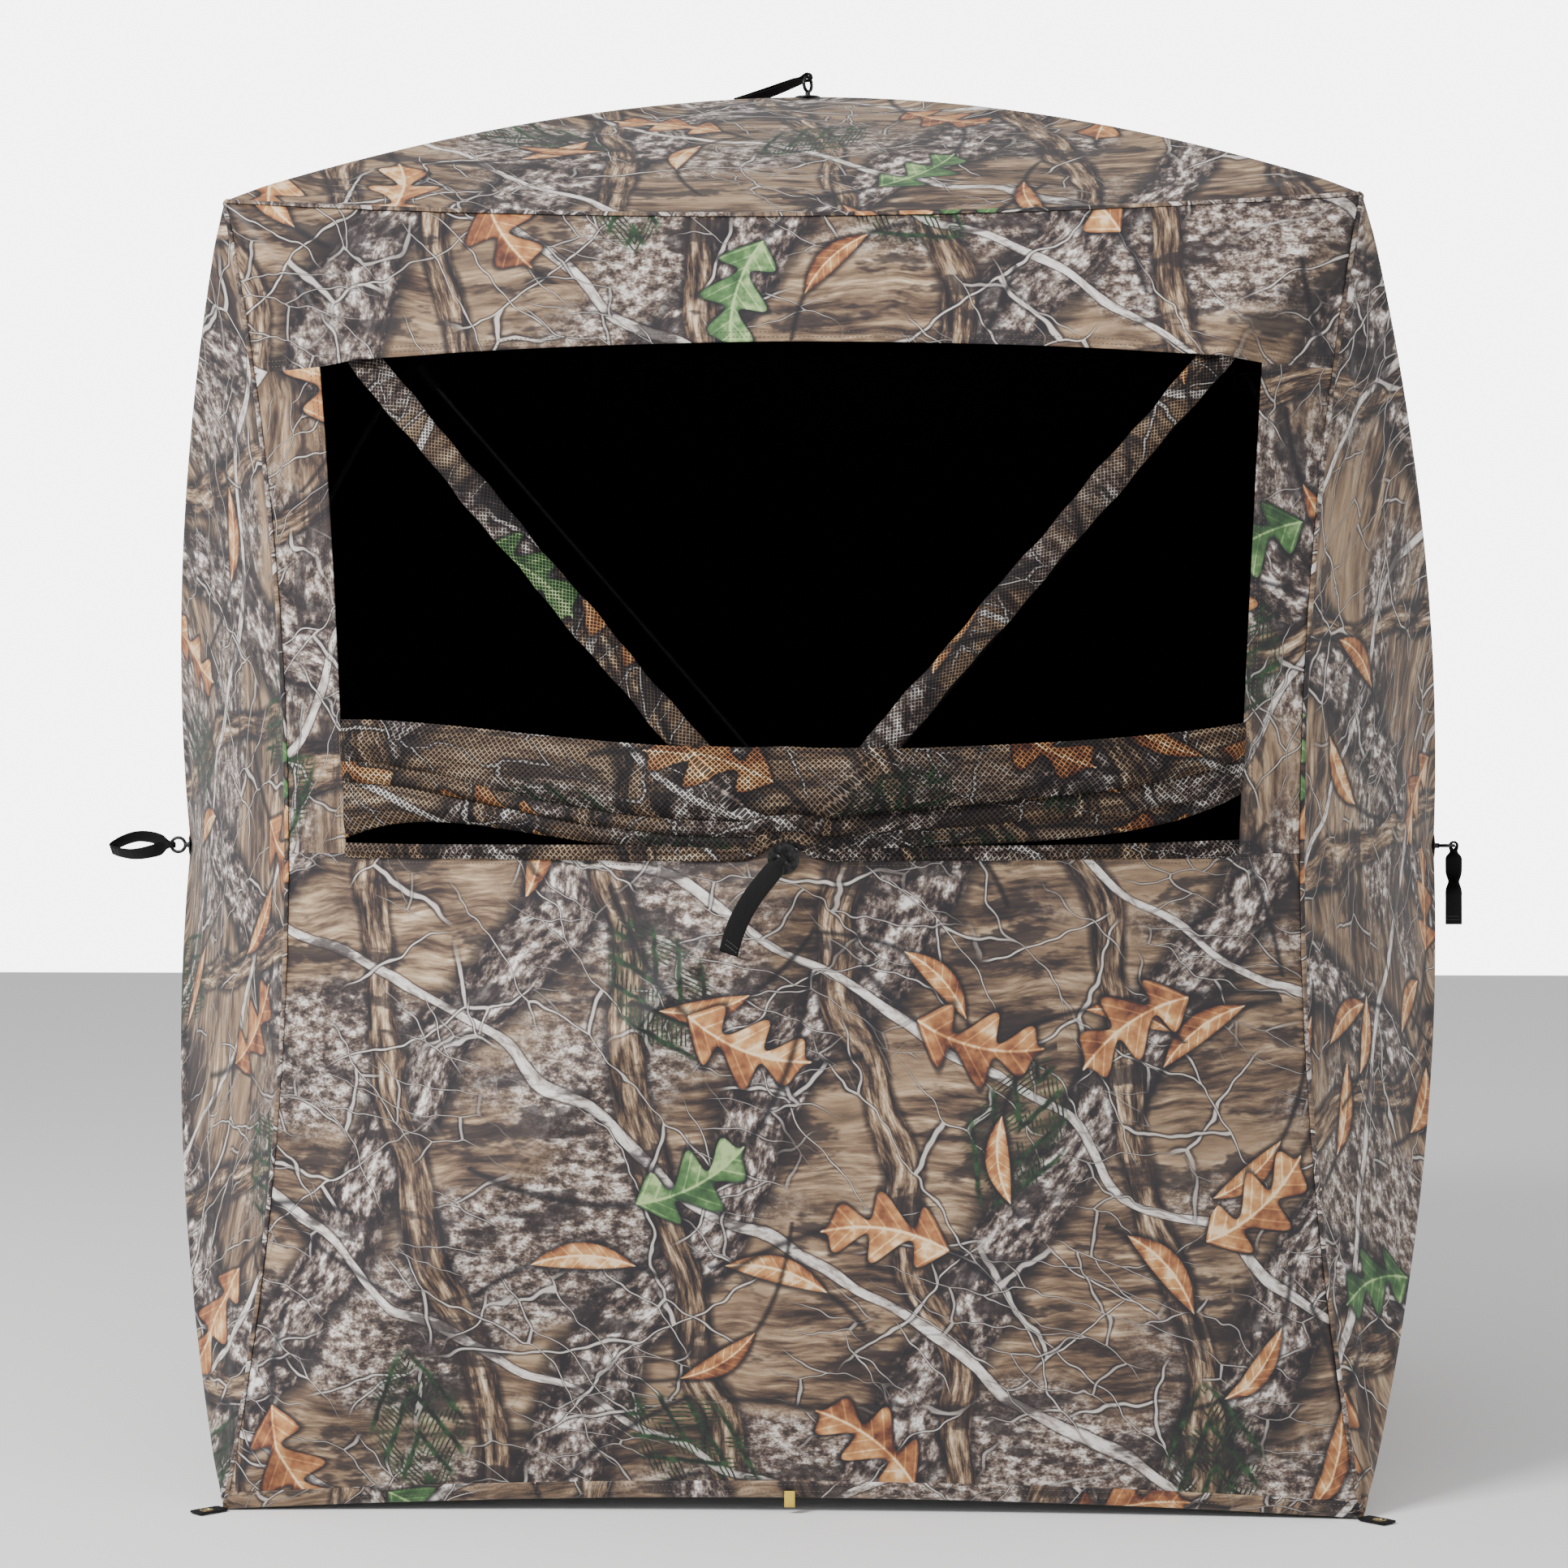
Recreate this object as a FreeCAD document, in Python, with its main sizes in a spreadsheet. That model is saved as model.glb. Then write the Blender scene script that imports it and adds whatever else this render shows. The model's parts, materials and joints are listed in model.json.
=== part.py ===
import FreeCAD, Part
import math
import os

import Sketcher
from FreeCAD import Placement, Rotation, Vector

# A pop-up hub blind: a square fabric shelter held up by five sprung hubs, one in each wall and one
# in the roof. Four rods run from each hub to the corners of its face.
#
# The row frame has its origin on the ground at the middle of the floor, +Z up and the front wall,
# which holds the shooting window, towards -Y.
#
# Every face has a frame of its own: +X across it, +Y up it, +Z out of the shelter, with the origin
# in the middle of the flat rectangle that joins its four corners.

DIMENSIONS = [
    ("blind_width", 1500, "corner to corner on the ground, both ways"),
    ("wall_height", 1735, "ground to the roof corners"),
    ("wall_bulge", 203, "how far a wall hub stands out of the corner rectangle"),
    ("roof_rise", 280, "how far the roof hub stands above the roof corners"),
    ("fabric_bow", 32, "how far the fabric arches out of a straight line from hub to edge"),
    ("fabric_thickness", 1.5, "coated polyester, with its blackout lining"),
    ("seam_draw", 70, "how far the upright corner seams pull in at mid height, each way"),
    ("eave_drop", 18, "sag of the middle of an eave"),
    ("eave_draw", 25, "how far the middle of an eave pulls in"),
    ("hem_rise", 18, "how far the middle of the ground hem lifts"),
    ("hem_draw", 15, "how far the middle of the ground hem pulls in"),
    ("seam_gap", 4, "fabric left off at a seam, where two faces meet"),
    ("hub_opening", 10, "half width of the hole in the fabric at a hub"),
    ("hub_radius", 48, "moulded hub"),
    ("hub_thickness", 26, "moulded hub"),
    ("hub_depth", 27, "middle of a hub below the fabric's peak"),
    ("slot_width", 15, "slot in a hub for one rod"),
    ("slot_start", 18, "inner end of a slot, from the hub's axis"),
    ("pin_circle", 36, "radius at which the rods are pinned"),
    ("pin_radius", 2.5, "rod pivot pin"),
    ("pin_length", 31, "rod pivot pin"),
    ("pin_clearance", 0.05, "between a pin and any bore it runs in"),
    ("rod_radius", 5.5, "glass-fibre rod"),
    ("rod_bow", 42, "arch of a sprung rod over its chord"),
    ("rod_start", 18, "inner end of the rod, from its pin"),
    ("ferrule_radius", 7, "metal ferrule on a rod's hub end"),
    ("ferrule_length", 62, "metal ferrule on a rod's hub end"),
    ("ferrule_width", 14, "ferrule's eye, across the slot"),
    ("socket_clearance", 0.3, "between a rod and the ferrule or cap it sits in"),
    ("cap_radius", 7, "rod end cap"),
    ("cap_length", 28, "rod end cap"),
    ("tip_side_inset", 50, "rod tip from the face's side edges"),
    ("tip_face_inset", 20, "rod tip behind the corner rectangle"),
    ("cup_mouth", 35, "mouth of a corner socket, from the rod tip towards the hub"),
    ("cup_mouth_radius", 17.5, "flared so that a rod can swing as its hub pops"),
    ("cup_floor_radius", 9.5, "floor of a wall rod's corner socket"),
    ("roof_cup_floor_radius", 14, "floor of a roof rod's corner socket, whose rod is pushed in further"),
    ("cup_wall", 3.5, "wall of a corner socket"),
    ("cup_floor", 5, "floor of a corner socket"),
    ("tip_clearance", 2, "left under a rod tip at its deepest"),
    ("foot_inset", 12, "ground foot from the corner rectangle"),
    ("foot_side", 78, "ground foot"),
    ("foot_thickness", 5, "ground foot"),
    ("foot_post_radius", 14, "post from the ground foot to its sockets"),
    ("foot_post_height", 42, "post from the ground foot to its sockets"),
    ("shank_radius", 4, "eyebolt"),
    ("shank_inside", 54, "eyebolt's end below the fabric's peak"),
    ("shank_outside", 12, "eyebolt's shank above the fabric's peak"),
    ("eye_radius", 11, "eyebolt's ring, to the middle of its wire"),
    ("wire_radius", 2.6, "eyebolt's ring"),
    ("washer_radius", 20, "washer over the fabric"),
    ("washer_thickness", 2, "washer over the fabric"),
    ("backing_radius", 14, "washer under the hub"),
    ("nut_radius", 8, "across the corners of the nut"),
    ("nut_height", 7, "nut under the hub"),
    ("strap_width", 25, "webbing pull strap"),
    ("strap_thickness", 2, "webbing pull strap"),
    ("strap_length", 140, "from the eye to the strap's end"),
    ("strap_neck", 8, "strap where it bunches through the eye"),
    ("strap_flare", 30, "length over which a strap widens from its neck"),
    ("loop_radius", 6.5, "strap's sewn loop around the eye"),
    ("loop_bore", 4.6, "strap's sewn loop around the eye"),
    ("side_strap_length", 95, "strap that stands straight out of the left hub"),
    ("window_top_half", 617, "half width of the window at its top corners"),
    ("window_sill_half", 592, "half width of the window at its sill"),
    ("window_top", 642, "top corners of the window above the wall's middle"),
    ("window_arch", 30, "rise of the middle of the window's top edge"),
    ("window_sill", 2, "sill above the wall's middle"),
    ("hub_tab_radius", 60, "fabric kept around the hub at the window's sill"),
    ("net_half_width", 578, "gathered window net"),
    ("net_low", 8, "lower edge of the gathered net above the wall's middle"),
    ("net_high", 168, "upper edge of the gathered net above the wall's middle"),
    ("net_lift", 1, "net in front of the wall's surface"),
    ("net_thickness", 11, "folds of the gathered net"),
    ("net_notch_radius", 30, "net left open round the eyebolt"),
    ("sleeve_half_width", 21, "net sleeve over a window rod"),
    ("sleeve_half_depth", 8, "net sleeve over a window rod"),
    ("sleeve_bore", 6.3, "net sleeve over a window rod"),
    ("sleeve_start", 75, "net sleeve from the rod's pin"),
    ("sleeve_end", 850, "net sleeve from the rod's pin"),
    ("door_hinge_side", 640, "door opening's upright edge from the wall's middle"),
    ("door_apex_side", 140, "door opening's short edge near the hub"),
    ("door_margin", 95, "door opening below the line of the rods, measured upright"),
    ("door_gap", 3, "between the door and the edge of its opening"),
    ("zip_width", 10, "zip tape on each side of the opening's edge"),
    ("zip_depth", 3.2, "zip tape behind the fabric's outer surface"),
    ("zip_thickness", 2, "zip tape"),
    ("slider_length", 14, "zip slider"),
    ("slider_width", 10, "zip slider"),
    ("slider_height", 5, "zip slider"),
    ("slider_depth", 13, "zip slider behind the fabric's outer surface"),
    ("pull_length", 32, "zip slider's pull tab"),
    ("pull_width", 6, "zip slider's pull tab"),
    ("stake_tab_length", 46, "ground loop at a corner"),
    ("stake_tab_width", 26, "ground loop at a corner"),
    ("stake_tab_thickness", 3, "ground loop at a corner"),
    ("stake_hole_radius", 6, "grommet for a ground stake"),
    ("stake_hole_reach", 28, "grommet from the corner, along the floor's diagonal"),
    ("hem_loop_width", 14, "small loop at the middle of the front hem"),
    ("hem_loop_length", 22, "small loop at the middle of the front hem"),
    ("hem_loop_stand_off", 11, "small loop in front of the hem"),
]

doc = FreeCAD.newDocument("pop_up_ground_blind")
sheet = doc.addObject("Spreadsheet::Sheet", "Dims")
for row, (alias, value, note) in enumerate(DIMENSIONS, start=1):
    sheet.set(f"A{row}", alias)
    sheet.set(f"B{row}", str(value))
    sheet.set(f"C{row}", note)
    sheet.setAlias(f"B{row}", alias)
doc.recompute()

OUT = Vector(0, 0, 1)
WALLS = {"front": 0, "right": 90, "back": 180, "left": 270}
CORNERS = {"upper_right": (1, 1), "upper_left": (-1, 1), "lower_left": (-1, -1), "lower_right": (1, -1)}
CUT_REACH = 400  # longer than anything a through-cut has to pass
nodes = {}


def dim(alias):
    """A driving dimension, read from the spreadsheet."""
    return float(sheet.get(alias))


def add(kind, name, **expressions):
    """A document object whose properties are bound to spreadsheet expressions."""
    obj = doc.addObject(kind, name)
    for prop, expression in expressions.items():
        obj.setExpression(prop, expression)
    return obj


def place(obj, placement):
    obj.Placement = placement
    return obj


def group(kind, name, parts):
    """One boolean or compound of several document objects."""
    obj = doc.addObject(kind, name)
    if kind == "Part::Compound":
        obj.Links = parts
    else:
        obj.Shapes = parts
    return obj


def cut(name, base, tool):
    obj = doc.addObject("Part::Cut", name)
    obj.Base = base
    obj.Tool = tool
    return obj


def solid_feature(name, shape):
    obj = doc.addObject("Part::Feature", name)
    obj.Shape = shape
    return obj


def finish(node, obj, placement=None):
    """Names a sub-part, and puts it in its place in the row frame."""
    obj.Label = node
    if placement is not None:
        obj.Placement = placement
    nodes[node] = obj


def pointing(origin, along):
    """Placement with its origin at a point and +Z along a direction."""
    return Placement(origin, Rotation(OUT, along))


# ---------------------------------------------------------------------------------------------
# Face frames and the fabric's surface
# ---------------------------------------------------------------------------------------------


def face_placement(face):
    """Carries a face's own frame into the row frame."""
    if face == "roof":
        return Placement(Vector(0, 0, dim("wall_height")), Rotation())
    upright = Placement(
        Vector(0, -dim("blind_width") / 2, dim("wall_height") / 2), Rotation(Vector(1, 0, 0), 90)
    )
    return Placement(Vector(), Rotation(OUT, WALLS[face])).multiply(upright)


def half_size(face):
    """Half width and half height of the rectangle that joins a face's corners."""
    half_width = dim("blind_width") / 2
    return (half_width, half_width) if face == "roof" else (half_width, dim("wall_height") / 2)


def peak(face):
    """How far the fabric's peak, over the hub, stands out of the corner rectangle."""
    return dim("roof_rise") if face == "roof" else dim("wall_bulge")


def edge_curve(face, side):
    """A face's edge as the three poles of a parabola. Its middle is drawn in and back."""
    half_x, half_y = half_size(face)
    eave = (dim("eave_drop"), dim("eave_draw"))
    if face == "roof":
        back, inward = eave
    else:
        seam = (dim("seam_draw"), dim("seam_draw"))
        inward, back = {
            "right": seam,
            "left": seam,
            "top": eave,
            "bottom": (dim("hem_rise"), dim("hem_draw")),
        }[side]
    # the middle pole of a parabola lies twice as far from the chord as its middle point
    if side in ("right", "left"):
        sign = 1 if side == "right" else -1
        middle = Vector(sign * (half_x - 2 * inward), 0, -2 * back)
        return [Vector(sign * half_x, -sign * half_y, 0), middle, Vector(sign * half_x, sign * half_y, 0)]
    sign = 1 if side == "top" else -1
    middle = Vector(0, sign * (half_y - 2 * inward), -2 * back)
    return [Vector(sign * half_x, sign * half_y, 0), middle, Vector(-sign * half_x, sign * half_y, 0)]


def sector_surface(face, side):
    """The fabric between two rods: straight rays from hub to edge, each arched by fabric_bow."""
    hub = Vector(0, 0, peak(face))
    arch = Vector(0, 0, 2 * dim("fabric_bow"))
    surface = Part.BezierSurface()
    surface.increase(2, 2)
    for column, pole in enumerate(edge_curve(face, side), start=1):
        surface.setPole(1, column, hub)
        surface.setPole(2, column, (hub + pole) * 0.5 + arch)
        surface.setPole(3, column, pole)
    return surface


def fabric_slab(face, name, front, back):
    """A solid skin between two offsets from the fabric's surface, open at the hub."""
    half_x, half_y = half_size(face)
    start = dim("hub_opening") / half_x
    end = 1 - dim("seam_gap") / half_x
    sectors = []
    for side in ("right", "top", "left", "bottom"):
        skin = sector_surface(face, side).toShape(start, end, 0, 1)
        skin.translate(Vector(0, 0, front))
        sheet_face = solid_feature(f"{name}_{side}_skin", skin)
        sector = doc.addObject("Part::Extrusion", f"{name}_{side}")
        sector.Base = sheet_face
        sector.DirMode = "Custom"
        sector.Dir = -OUT
        sector.LengthFwd = front - back
        sector.Solid = True
        sectors.append(sector)
    return group("Part::MultiFuse", f"{name}_slab", sectors)


def surface_height(face, x, y):
    """Outward height of the fabric over a point of the face, in the face's right or left sector."""
    surface = sector_surface(face, "right" if x > 0 else "left")
    line = Part.Line(Vector(x, y, 0), Vector(x, y, 1))
    points, _ = surface.intersect(line)
    return points[0].Z


def prism(name, outline):
    """Everything over and under an outline drawn on the face."""
    flat = solid_feature(f"{name}_outline", Part.Face(outline))
    flat.Placement = Placement(Vector(0, 0, -CUT_REACH), Rotation())
    body = doc.addObject("Part::Extrusion", name)
    body.Base = flat
    body.DirMode = "Custom"
    body.Dir = OUT
    body.LengthFwd = 2 * CUT_REACH
    body.Solid = True
    return body


def polygon(points):
    corners = [Vector(x, y, 0) for x, y in points]
    return Part.makePolygon(corners + corners[:1])


def axis_post(name, radius_cell):
    """A through-cylinder on the face's hub axis."""
    post = add("Part::Cylinder", name, Radius=f"Dims.{radius_cell}")
    post.Height = 2 * CUT_REACH
    return place(post, Placement(Vector(0, 0, -CUT_REACH), Rotation()))


# ---------------------------------------------------------------------------------------------
# Fabric faces, window net and door
# ---------------------------------------------------------------------------------------------


def window_outline():
    """The shooting window: a wide trapezoid with an arched top edge."""
    top = dim("window_top")
    left_top = Vector(-dim("window_top_half"), top, 0)
    right_top = Vector(dim("window_top_half"), top, 0)
    left_sill = Vector(-dim("window_sill_half"), dim("window_sill"), 0)
    right_sill = Vector(dim("window_sill_half"), dim("window_sill"), 0)
    crown = Vector(0, top + dim("window_arch"), 0)
    return Part.Wire([
        Part.makeLine(left_sill, right_sill),
        Part.makeLine(right_sill, right_top),
        Part.Arc(right_top, crown, left_top).toShape(),
        Part.makeLine(left_top, left_sill),
    ])


def door_outline(inset):
    """The door's triangle with a cut-off point, inset from the opening's edge."""
    half_x, half_y = half_size("back")
    steepness = half_y / half_x
    hinge_x = dim("door_hinge_side") - inset
    apex_x = dim("door_apex_side") + inset
    drop = dim("door_margin") + inset * math.hypot(1, steepness)
    hinge_y = steepness * hinge_x - drop
    apex_y = steepness * apex_x - drop
    return polygon([(hinge_x, -hinge_y), (hinge_x, hinge_y), (apex_x, apex_y), (apex_x, -apex_y)])


def fabric_face(face):
    return fabric_slab(face, f"{face}_fabric", 0, -dim("fabric_thickness"))


def make_front_wall():
    tab = axis_post("window_hub_tab", "hub_tab_radius")
    opening = cut("window_opening", prism("window_prism", window_outline()), tab)
    finish("front_wall", cut("front_wall", fabric_face("front"), opening), face_placement("front"))


def make_back_wall():
    opening = prism("door_opening", door_outline(0))
    finish("back_wall", cut("back_wall", fabric_face("back"), opening), face_placement("back"))


def make_plain_faces():
    for node, face in (("right_wall", "right"), ("left_wall", "left"), ("roof_panel", "roof")):
        finish(node, fabric_face(face), face_placement(face))


def make_window_net():
    """The shoot-through net, let down and gathered along the sill."""
    front = dim("net_lift") + dim("net_thickness")
    slab = fabric_slab("front", "net", front, dim("net_lift"))
    half, low, high = dim("net_half_width"), dim("net_low"), dim("net_high")
    band = prism("net_band", polygon([(-half, low), (half, low), (half, high), (-half, high)]))
    strip = doc.addObject("Part::Common", "net_strip")
    strip.Base = slab
    strip.Tool = band
    notch = axis_post("net_notch", "net_notch_radius")
    finish("window_net", cut("window_net", strip, notch), face_placement("front"))


def make_door():
    placement = face_placement("back")
    skin = fabric_slab("back", "door", 0, -dim("fabric_thickness"))
    panel = doc.addObject("Part::Common", "door_panel")
    panel.Base = skin
    panel.Tool = prism("door_prism", door_outline(dim("door_gap")))
    finish("door_panel", panel, placement)

    front = -dim("zip_depth")
    tape_skin = fabric_slab("back", "zip", front, front - dim("zip_thickness"))
    ring = cut(
        "zip_ring",
        prism("zip_outer", door_outline(-dim("zip_width"))),
        prism("zip_inner", door_outline(dim("zip_width"))),
    )
    sewn_edge = dim("door_hinge_side") - 3 * dim("zip_width")
    hinge_side = prism(
        "zip_hinge_side",
        polygon([(sewn_edge, -CUT_REACH * 2), (CUT_REACH * 2, -CUT_REACH * 2),
                 (CUT_REACH * 2, CUT_REACH * 2), (sewn_edge, CUT_REACH * 2)]),
    )
    tape = doc.addObject("Part::Common", "zip_tape_all_round")
    tape.Base = tape_skin
    tape.Tool = ring
    finish("door_zip_tape", cut("door_zip_tape", tape, hinge_side), placement)


def zip_path(sign):
    """Start and end of a zip slider's travel, behind the upper (1) or lower (-1) edge."""
    half_x, half_y = half_size("back")
    ends = []
    for x in (dim("door_apex_side") + dim("slider_length"), dim("door_hinge_side") - 4 * dim("zip_width")):
        y = sign * (x * half_y / half_x - dim("door_margin"))
        ends.append(Vector(x, y, surface_height("back", x, y) - dim("slider_depth")))
    return ends


def make_zip_sliders():
    for node, sign in (("upper_zip_slider", 1), ("lower_zip_slider", -1)):
        start, end = zip_path(sign)
        body = add("Part::Box", f"{node}_body", Length="Dims.slider_width", Width="Dims.slider_height",
                   Height="Dims.slider_length")
        body.Placement = Placement(Vector(-dim("slider_width") / 2, -dim("slider_height"), 0), Rotation())
        pull = add("Part::Box", f"{node}_pull", Length="Dims.pull_width", Width="Dims.strap_thickness",
                   Height="Dims.pull_length")
        pull.Placement = Placement(
            Vector(-dim("pull_width") / 2, -dim("slider_height") - dim("strap_thickness"), 2), Rotation()
        )
        slider = group("Part::MultiFuse", node, [body, pull])
        travel = (end - start).normalize()
        across = travel.cross(OUT).normalize() * -1
        local = Placement(start, Rotation(across, Vector(), travel, "ZXY"))
        finish(node, slider, face_placement("back").multiply(local))


# ---------------------------------------------------------------------------------------------
# Rods: each is an arc, pinned to its hub and resting in a corner socket
# ---------------------------------------------------------------------------------------------


def rod_line(face, corner):
    """A rod's pin, tip and the direction from hub to corner across the face."""
    half_x, half_y = half_size(face)
    sign_x, sign_y = CORNERS[corner]
    inset = dim("tip_side_inset")
    tip = Vector(sign_x * (half_x - inset), sign_y * (half_y - inset), -dim("tip_face_inset"))
    outward = Vector(tip.x, tip.y, 0).normalize()
    pin = outward * dim("pin_circle") + Vector(0, 0, peak(face) - dim("hub_depth"))
    return pin, tip, outward


def rod_placement(face, corner):
    """Rod frame: origin on the pin, +X along the chord to the tip, +Y along the pin."""
    pin, tip, outward = rod_line(face, corner)
    local = Placement(pin, Rotation(tip - pin, OUT.cross(outward), Vector(0, 0, 0), "XYZ"))
    return face_placement(face).multiply(local)


def rod_bend(face):
    """Chord, radius and half angle of a sprung rod's arc."""
    pin, tip, _ = rod_line(face, "upper_right")
    chord = (tip - pin).Length
    radius = chord**2 / (8 * dim("rod_bow")) + dim("rod_bow") / 2
    return chord, radius, math.asin(chord / (2 * radius))


def push_depth(face):
    """How far a rod's tip is pushed into its socket when the rod lies flat, half way through a pop."""
    pin, tip, _ = rod_line(face, "upper_right")
    chord = (tip - pin).Length
    return chord - math.hypot(tip.x - pin.x, tip.y - pin.y)


def on_rod(face, reach):
    """Placement at a distance along a rod's arc: +Z along the rod, +Y along the pin."""
    chord, radius, half_angle = rod_bend(face)
    turn = reach / radius - half_angle
    centre = Vector(chord / 2, 0, dim("rod_bow") - radius)
    point = centre + Vector(math.sin(turn), 0, math.cos(turn)) * radius
    along = Vector(math.cos(turn), 0, -math.sin(turn))
    return Placement(point, Rotation(Vector(0, 0, 0), Vector(0, 1, 0), along, "ZYX"))


def rod_sweep(name, face, start, end, section):
    """Turns a section, drawn across the rod at its middle, along part of the rod's arc."""
    chord, radius, half_angle = rod_bend(face)
    centre = Vector(chord / 2, 0, dim("rod_bow") - radius)
    first = start / radius - half_angle
    sweep = (end - start) / radius
    section.rotate(centre, Vector(0, 1, 0), math.degrees(first))
    return solid_feature(name, section.revolve(centre, Vector(0, 1, 0), math.degrees(sweep)))


def make_rod(face, corner):
    name = f"{face}_rod_{corner}"
    chord, radius, half_angle = rod_bend(face)
    arc_length = 2 * half_angle * radius
    bore = "Dims.rod_radius + Dims.socket_clearance"

    start, end = dim("rod_start"), arc_length - 4
    rod = add("Part::Torus", f"{name}_shaft", Radius2="Dims.rod_radius")
    rod.Radius1 = radius
    rod.Angle3 = math.degrees((end - start) / radius)
    first = on_rod(face, start)
    centre = Vector(chord / 2, 0, dim("rod_bow") - radius)
    spoke = (first.Base - centre).normalize()
    rod.Placement = Placement(centre, Rotation(spoke, Vector(0, 0, 0), Vector(0, 1, 0), "XZY"))

    hub_end = on_rod(face, 0)
    barrel = place(
        add("Part::Cylinder", f"{name}_barrel", Radius="Dims.ferrule_radius", Height="Dims.ferrule_length"),
        hub_end,
    )
    flat = Rotation(Vector(1, 0, 0), -90)
    eye = add("Part::Cylinder", f"{name}_eye", Radius="Dims.ferrule_radius", Height="Dims.ferrule_width")
    eye.Placement = Placement(Vector(0, -dim("ferrule_width") / 2, 0), flat)
    pin_bore = add("Part::Cylinder", f"{name}_pin_bore", Radius="Dims.pin_radius + Dims.pin_clearance")
    pin_bore.Height = 2 * dim("ferrule_width")
    pin_bore.Placement = Placement(Vector(0, -dim("ferrule_width"), 0), flat)
    socket = add("Part::Cylinder", f"{name}_socket", Radius=bore, Height="Dims.ferrule_length")
    place(socket, hub_end.multiply(Placement(Vector(0, 0, start - 2), Rotation())))
    ferrule = cut(
        f"{name}_ferrule",
        group("Part::MultiFuse", f"{name}_ferrule_blank", [barrel, eye]),
        group("Part::MultiFuse", f"{name}_ferrule_bores", [pin_bore, socket]),
    )

    cap_start = arc_length - dim("cap_length")
    tube = add("Part::Cylinder", f"{name}_cap_tube", Radius="Dims.cap_radius", Height="Dims.cap_length")
    place(tube, on_rod(face, cap_start))
    nose = place(add("Part::Sphere", f"{name}_cap_nose", Radius="Dims.cap_radius"), on_rod(face, arc_length))
    hollow = add("Part::Cylinder", f"{name}_cap_bore", Radius=bore, Height="Dims.cap_length - 2")
    place(hollow, on_rod(face, cap_start - 1))
    cap = cut(f"{name}_cap", group("Part::MultiFuse", f"{name}_cap_blank", [tube, nose]), hollow)

    finish(name, group("Part::Compound", name, [rod, ferrule, cap]), rod_placement(face, corner))


def make_rods():
    for face in [*WALLS, "roof"]:
        for corner in CORNERS:
            make_rod(face, corner)


def make_rod_sleeves():
    """Flat sleeves of window net, sewn round the two rods that cross the window."""
    for corner in ("upper_right", "upper_left"):
        chord, _, _ = rod_bend("front")
        middle = Vector(chord / 2, 0, dim("rod_bow"))
        ellipse = Part.Ellipse(
            middle + Vector(0, dim("sleeve_half_width"), 0),
            middle + Vector(0, 0, dim("sleeve_half_depth")),
            middle,
        )
        bore = Part.Circle(middle, Vector(1, 0, 0), dim("sleeve_bore"))
        outer = Part.Face(Part.Wire(ellipse.toShape()))
        section = outer.cut(Part.Face(Part.Wire(bore.toShape()))).Faces[0]
        node = f"rod_sleeve_{corner}"
        sleeve = rod_sweep(node, "front", dim("sleeve_start"), dim("sleeve_end"), section)
        finish(node, sleeve, rod_placement("front", corner))


# ---------------------------------------------------------------------------------------------
# Hubs, pins and eyebolts
# ---------------------------------------------------------------------------------------------


def origin_plane(body, role):
    return next(plane for plane in body.Origin.OriginFeatures if plane.Role == role)


def slot_corners(outward):
    """One radial slot, from its inner end to past the hub's rim."""
    side = OUT.cross(outward) * (dim("slot_width") / 2)
    inner = outward * dim("slot_start")
    outer = outward * (dim("hub_radius") + 2)
    return [inner + side, inner - side, outer - side, outer + side]


def make_hub_body(face):
    """Moulded disc with a slot for each rod."""
    body = doc.addObject("PartDesign::Body", f"{face}_hub_moulding")
    disc = body.newObject("Sketcher::SketchObject", f"{face}_hub_disc")
    disc.AttachmentSupport = [(origin_plane(body, "XY_Plane"), "")]
    disc.MapMode = "FlatFace"
    disc.addGeometry(Part.Circle(Vector(), OUT, dim("hub_radius")))
    disc.addConstraint(Sketcher.Constraint("Coincident", 0, 3, -1, 1))
    radius = disc.addConstraint(Sketcher.Constraint("Radius", 0, dim("hub_radius")))
    disc.setExpression(f"Constraints[{radius}]", "Dims.hub_radius")
    pad = body.newObject("PartDesign::Pad", f"{face}_hub_pad")
    pad.Profile = disc
    pad.Midplane = True
    pad.setExpression("Length", "Dims.hub_thickness")
    doc.recompute()

    slots = body.newObject("Sketcher::SketchObject", f"{face}_hub_slot_outline")
    slots.AttachmentSupport = [(origin_plane(body, "XY_Plane"), "")]
    slots.MapMode = "FlatFace"
    for corner in CORNERS:
        corners = slot_corners(rod_line(face, corner)[2])
        for start, end in zip(corners, corners[1:] + corners[:1]):
            slots.addGeometry(Part.LineSegment(start, end))
    pocket = body.newObject("PartDesign::Pocket", f"{face}_hub_slots")
    pocket.Profile = slots
    pocket.Type = "ThroughAll"
    pocket.Midplane = True
    before = pad.Shape.Volume
    doc.recompute()
    if pocket.Shape.Volume > before * 0.95:
        raise RuntimeError(f"the slots of the {face} hub cut nothing")
    return body


def pin_placement(face, corner, length):
    """A tangential pin's placement on the hub's pin circle, +Z along the pin."""
    _, _, outward = rod_line(face, corner)
    tangent = OUT.cross(outward)
    centre = outward * dim("pin_circle")
    return pointing(centre - tangent * (length / 2), tangent)


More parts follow.
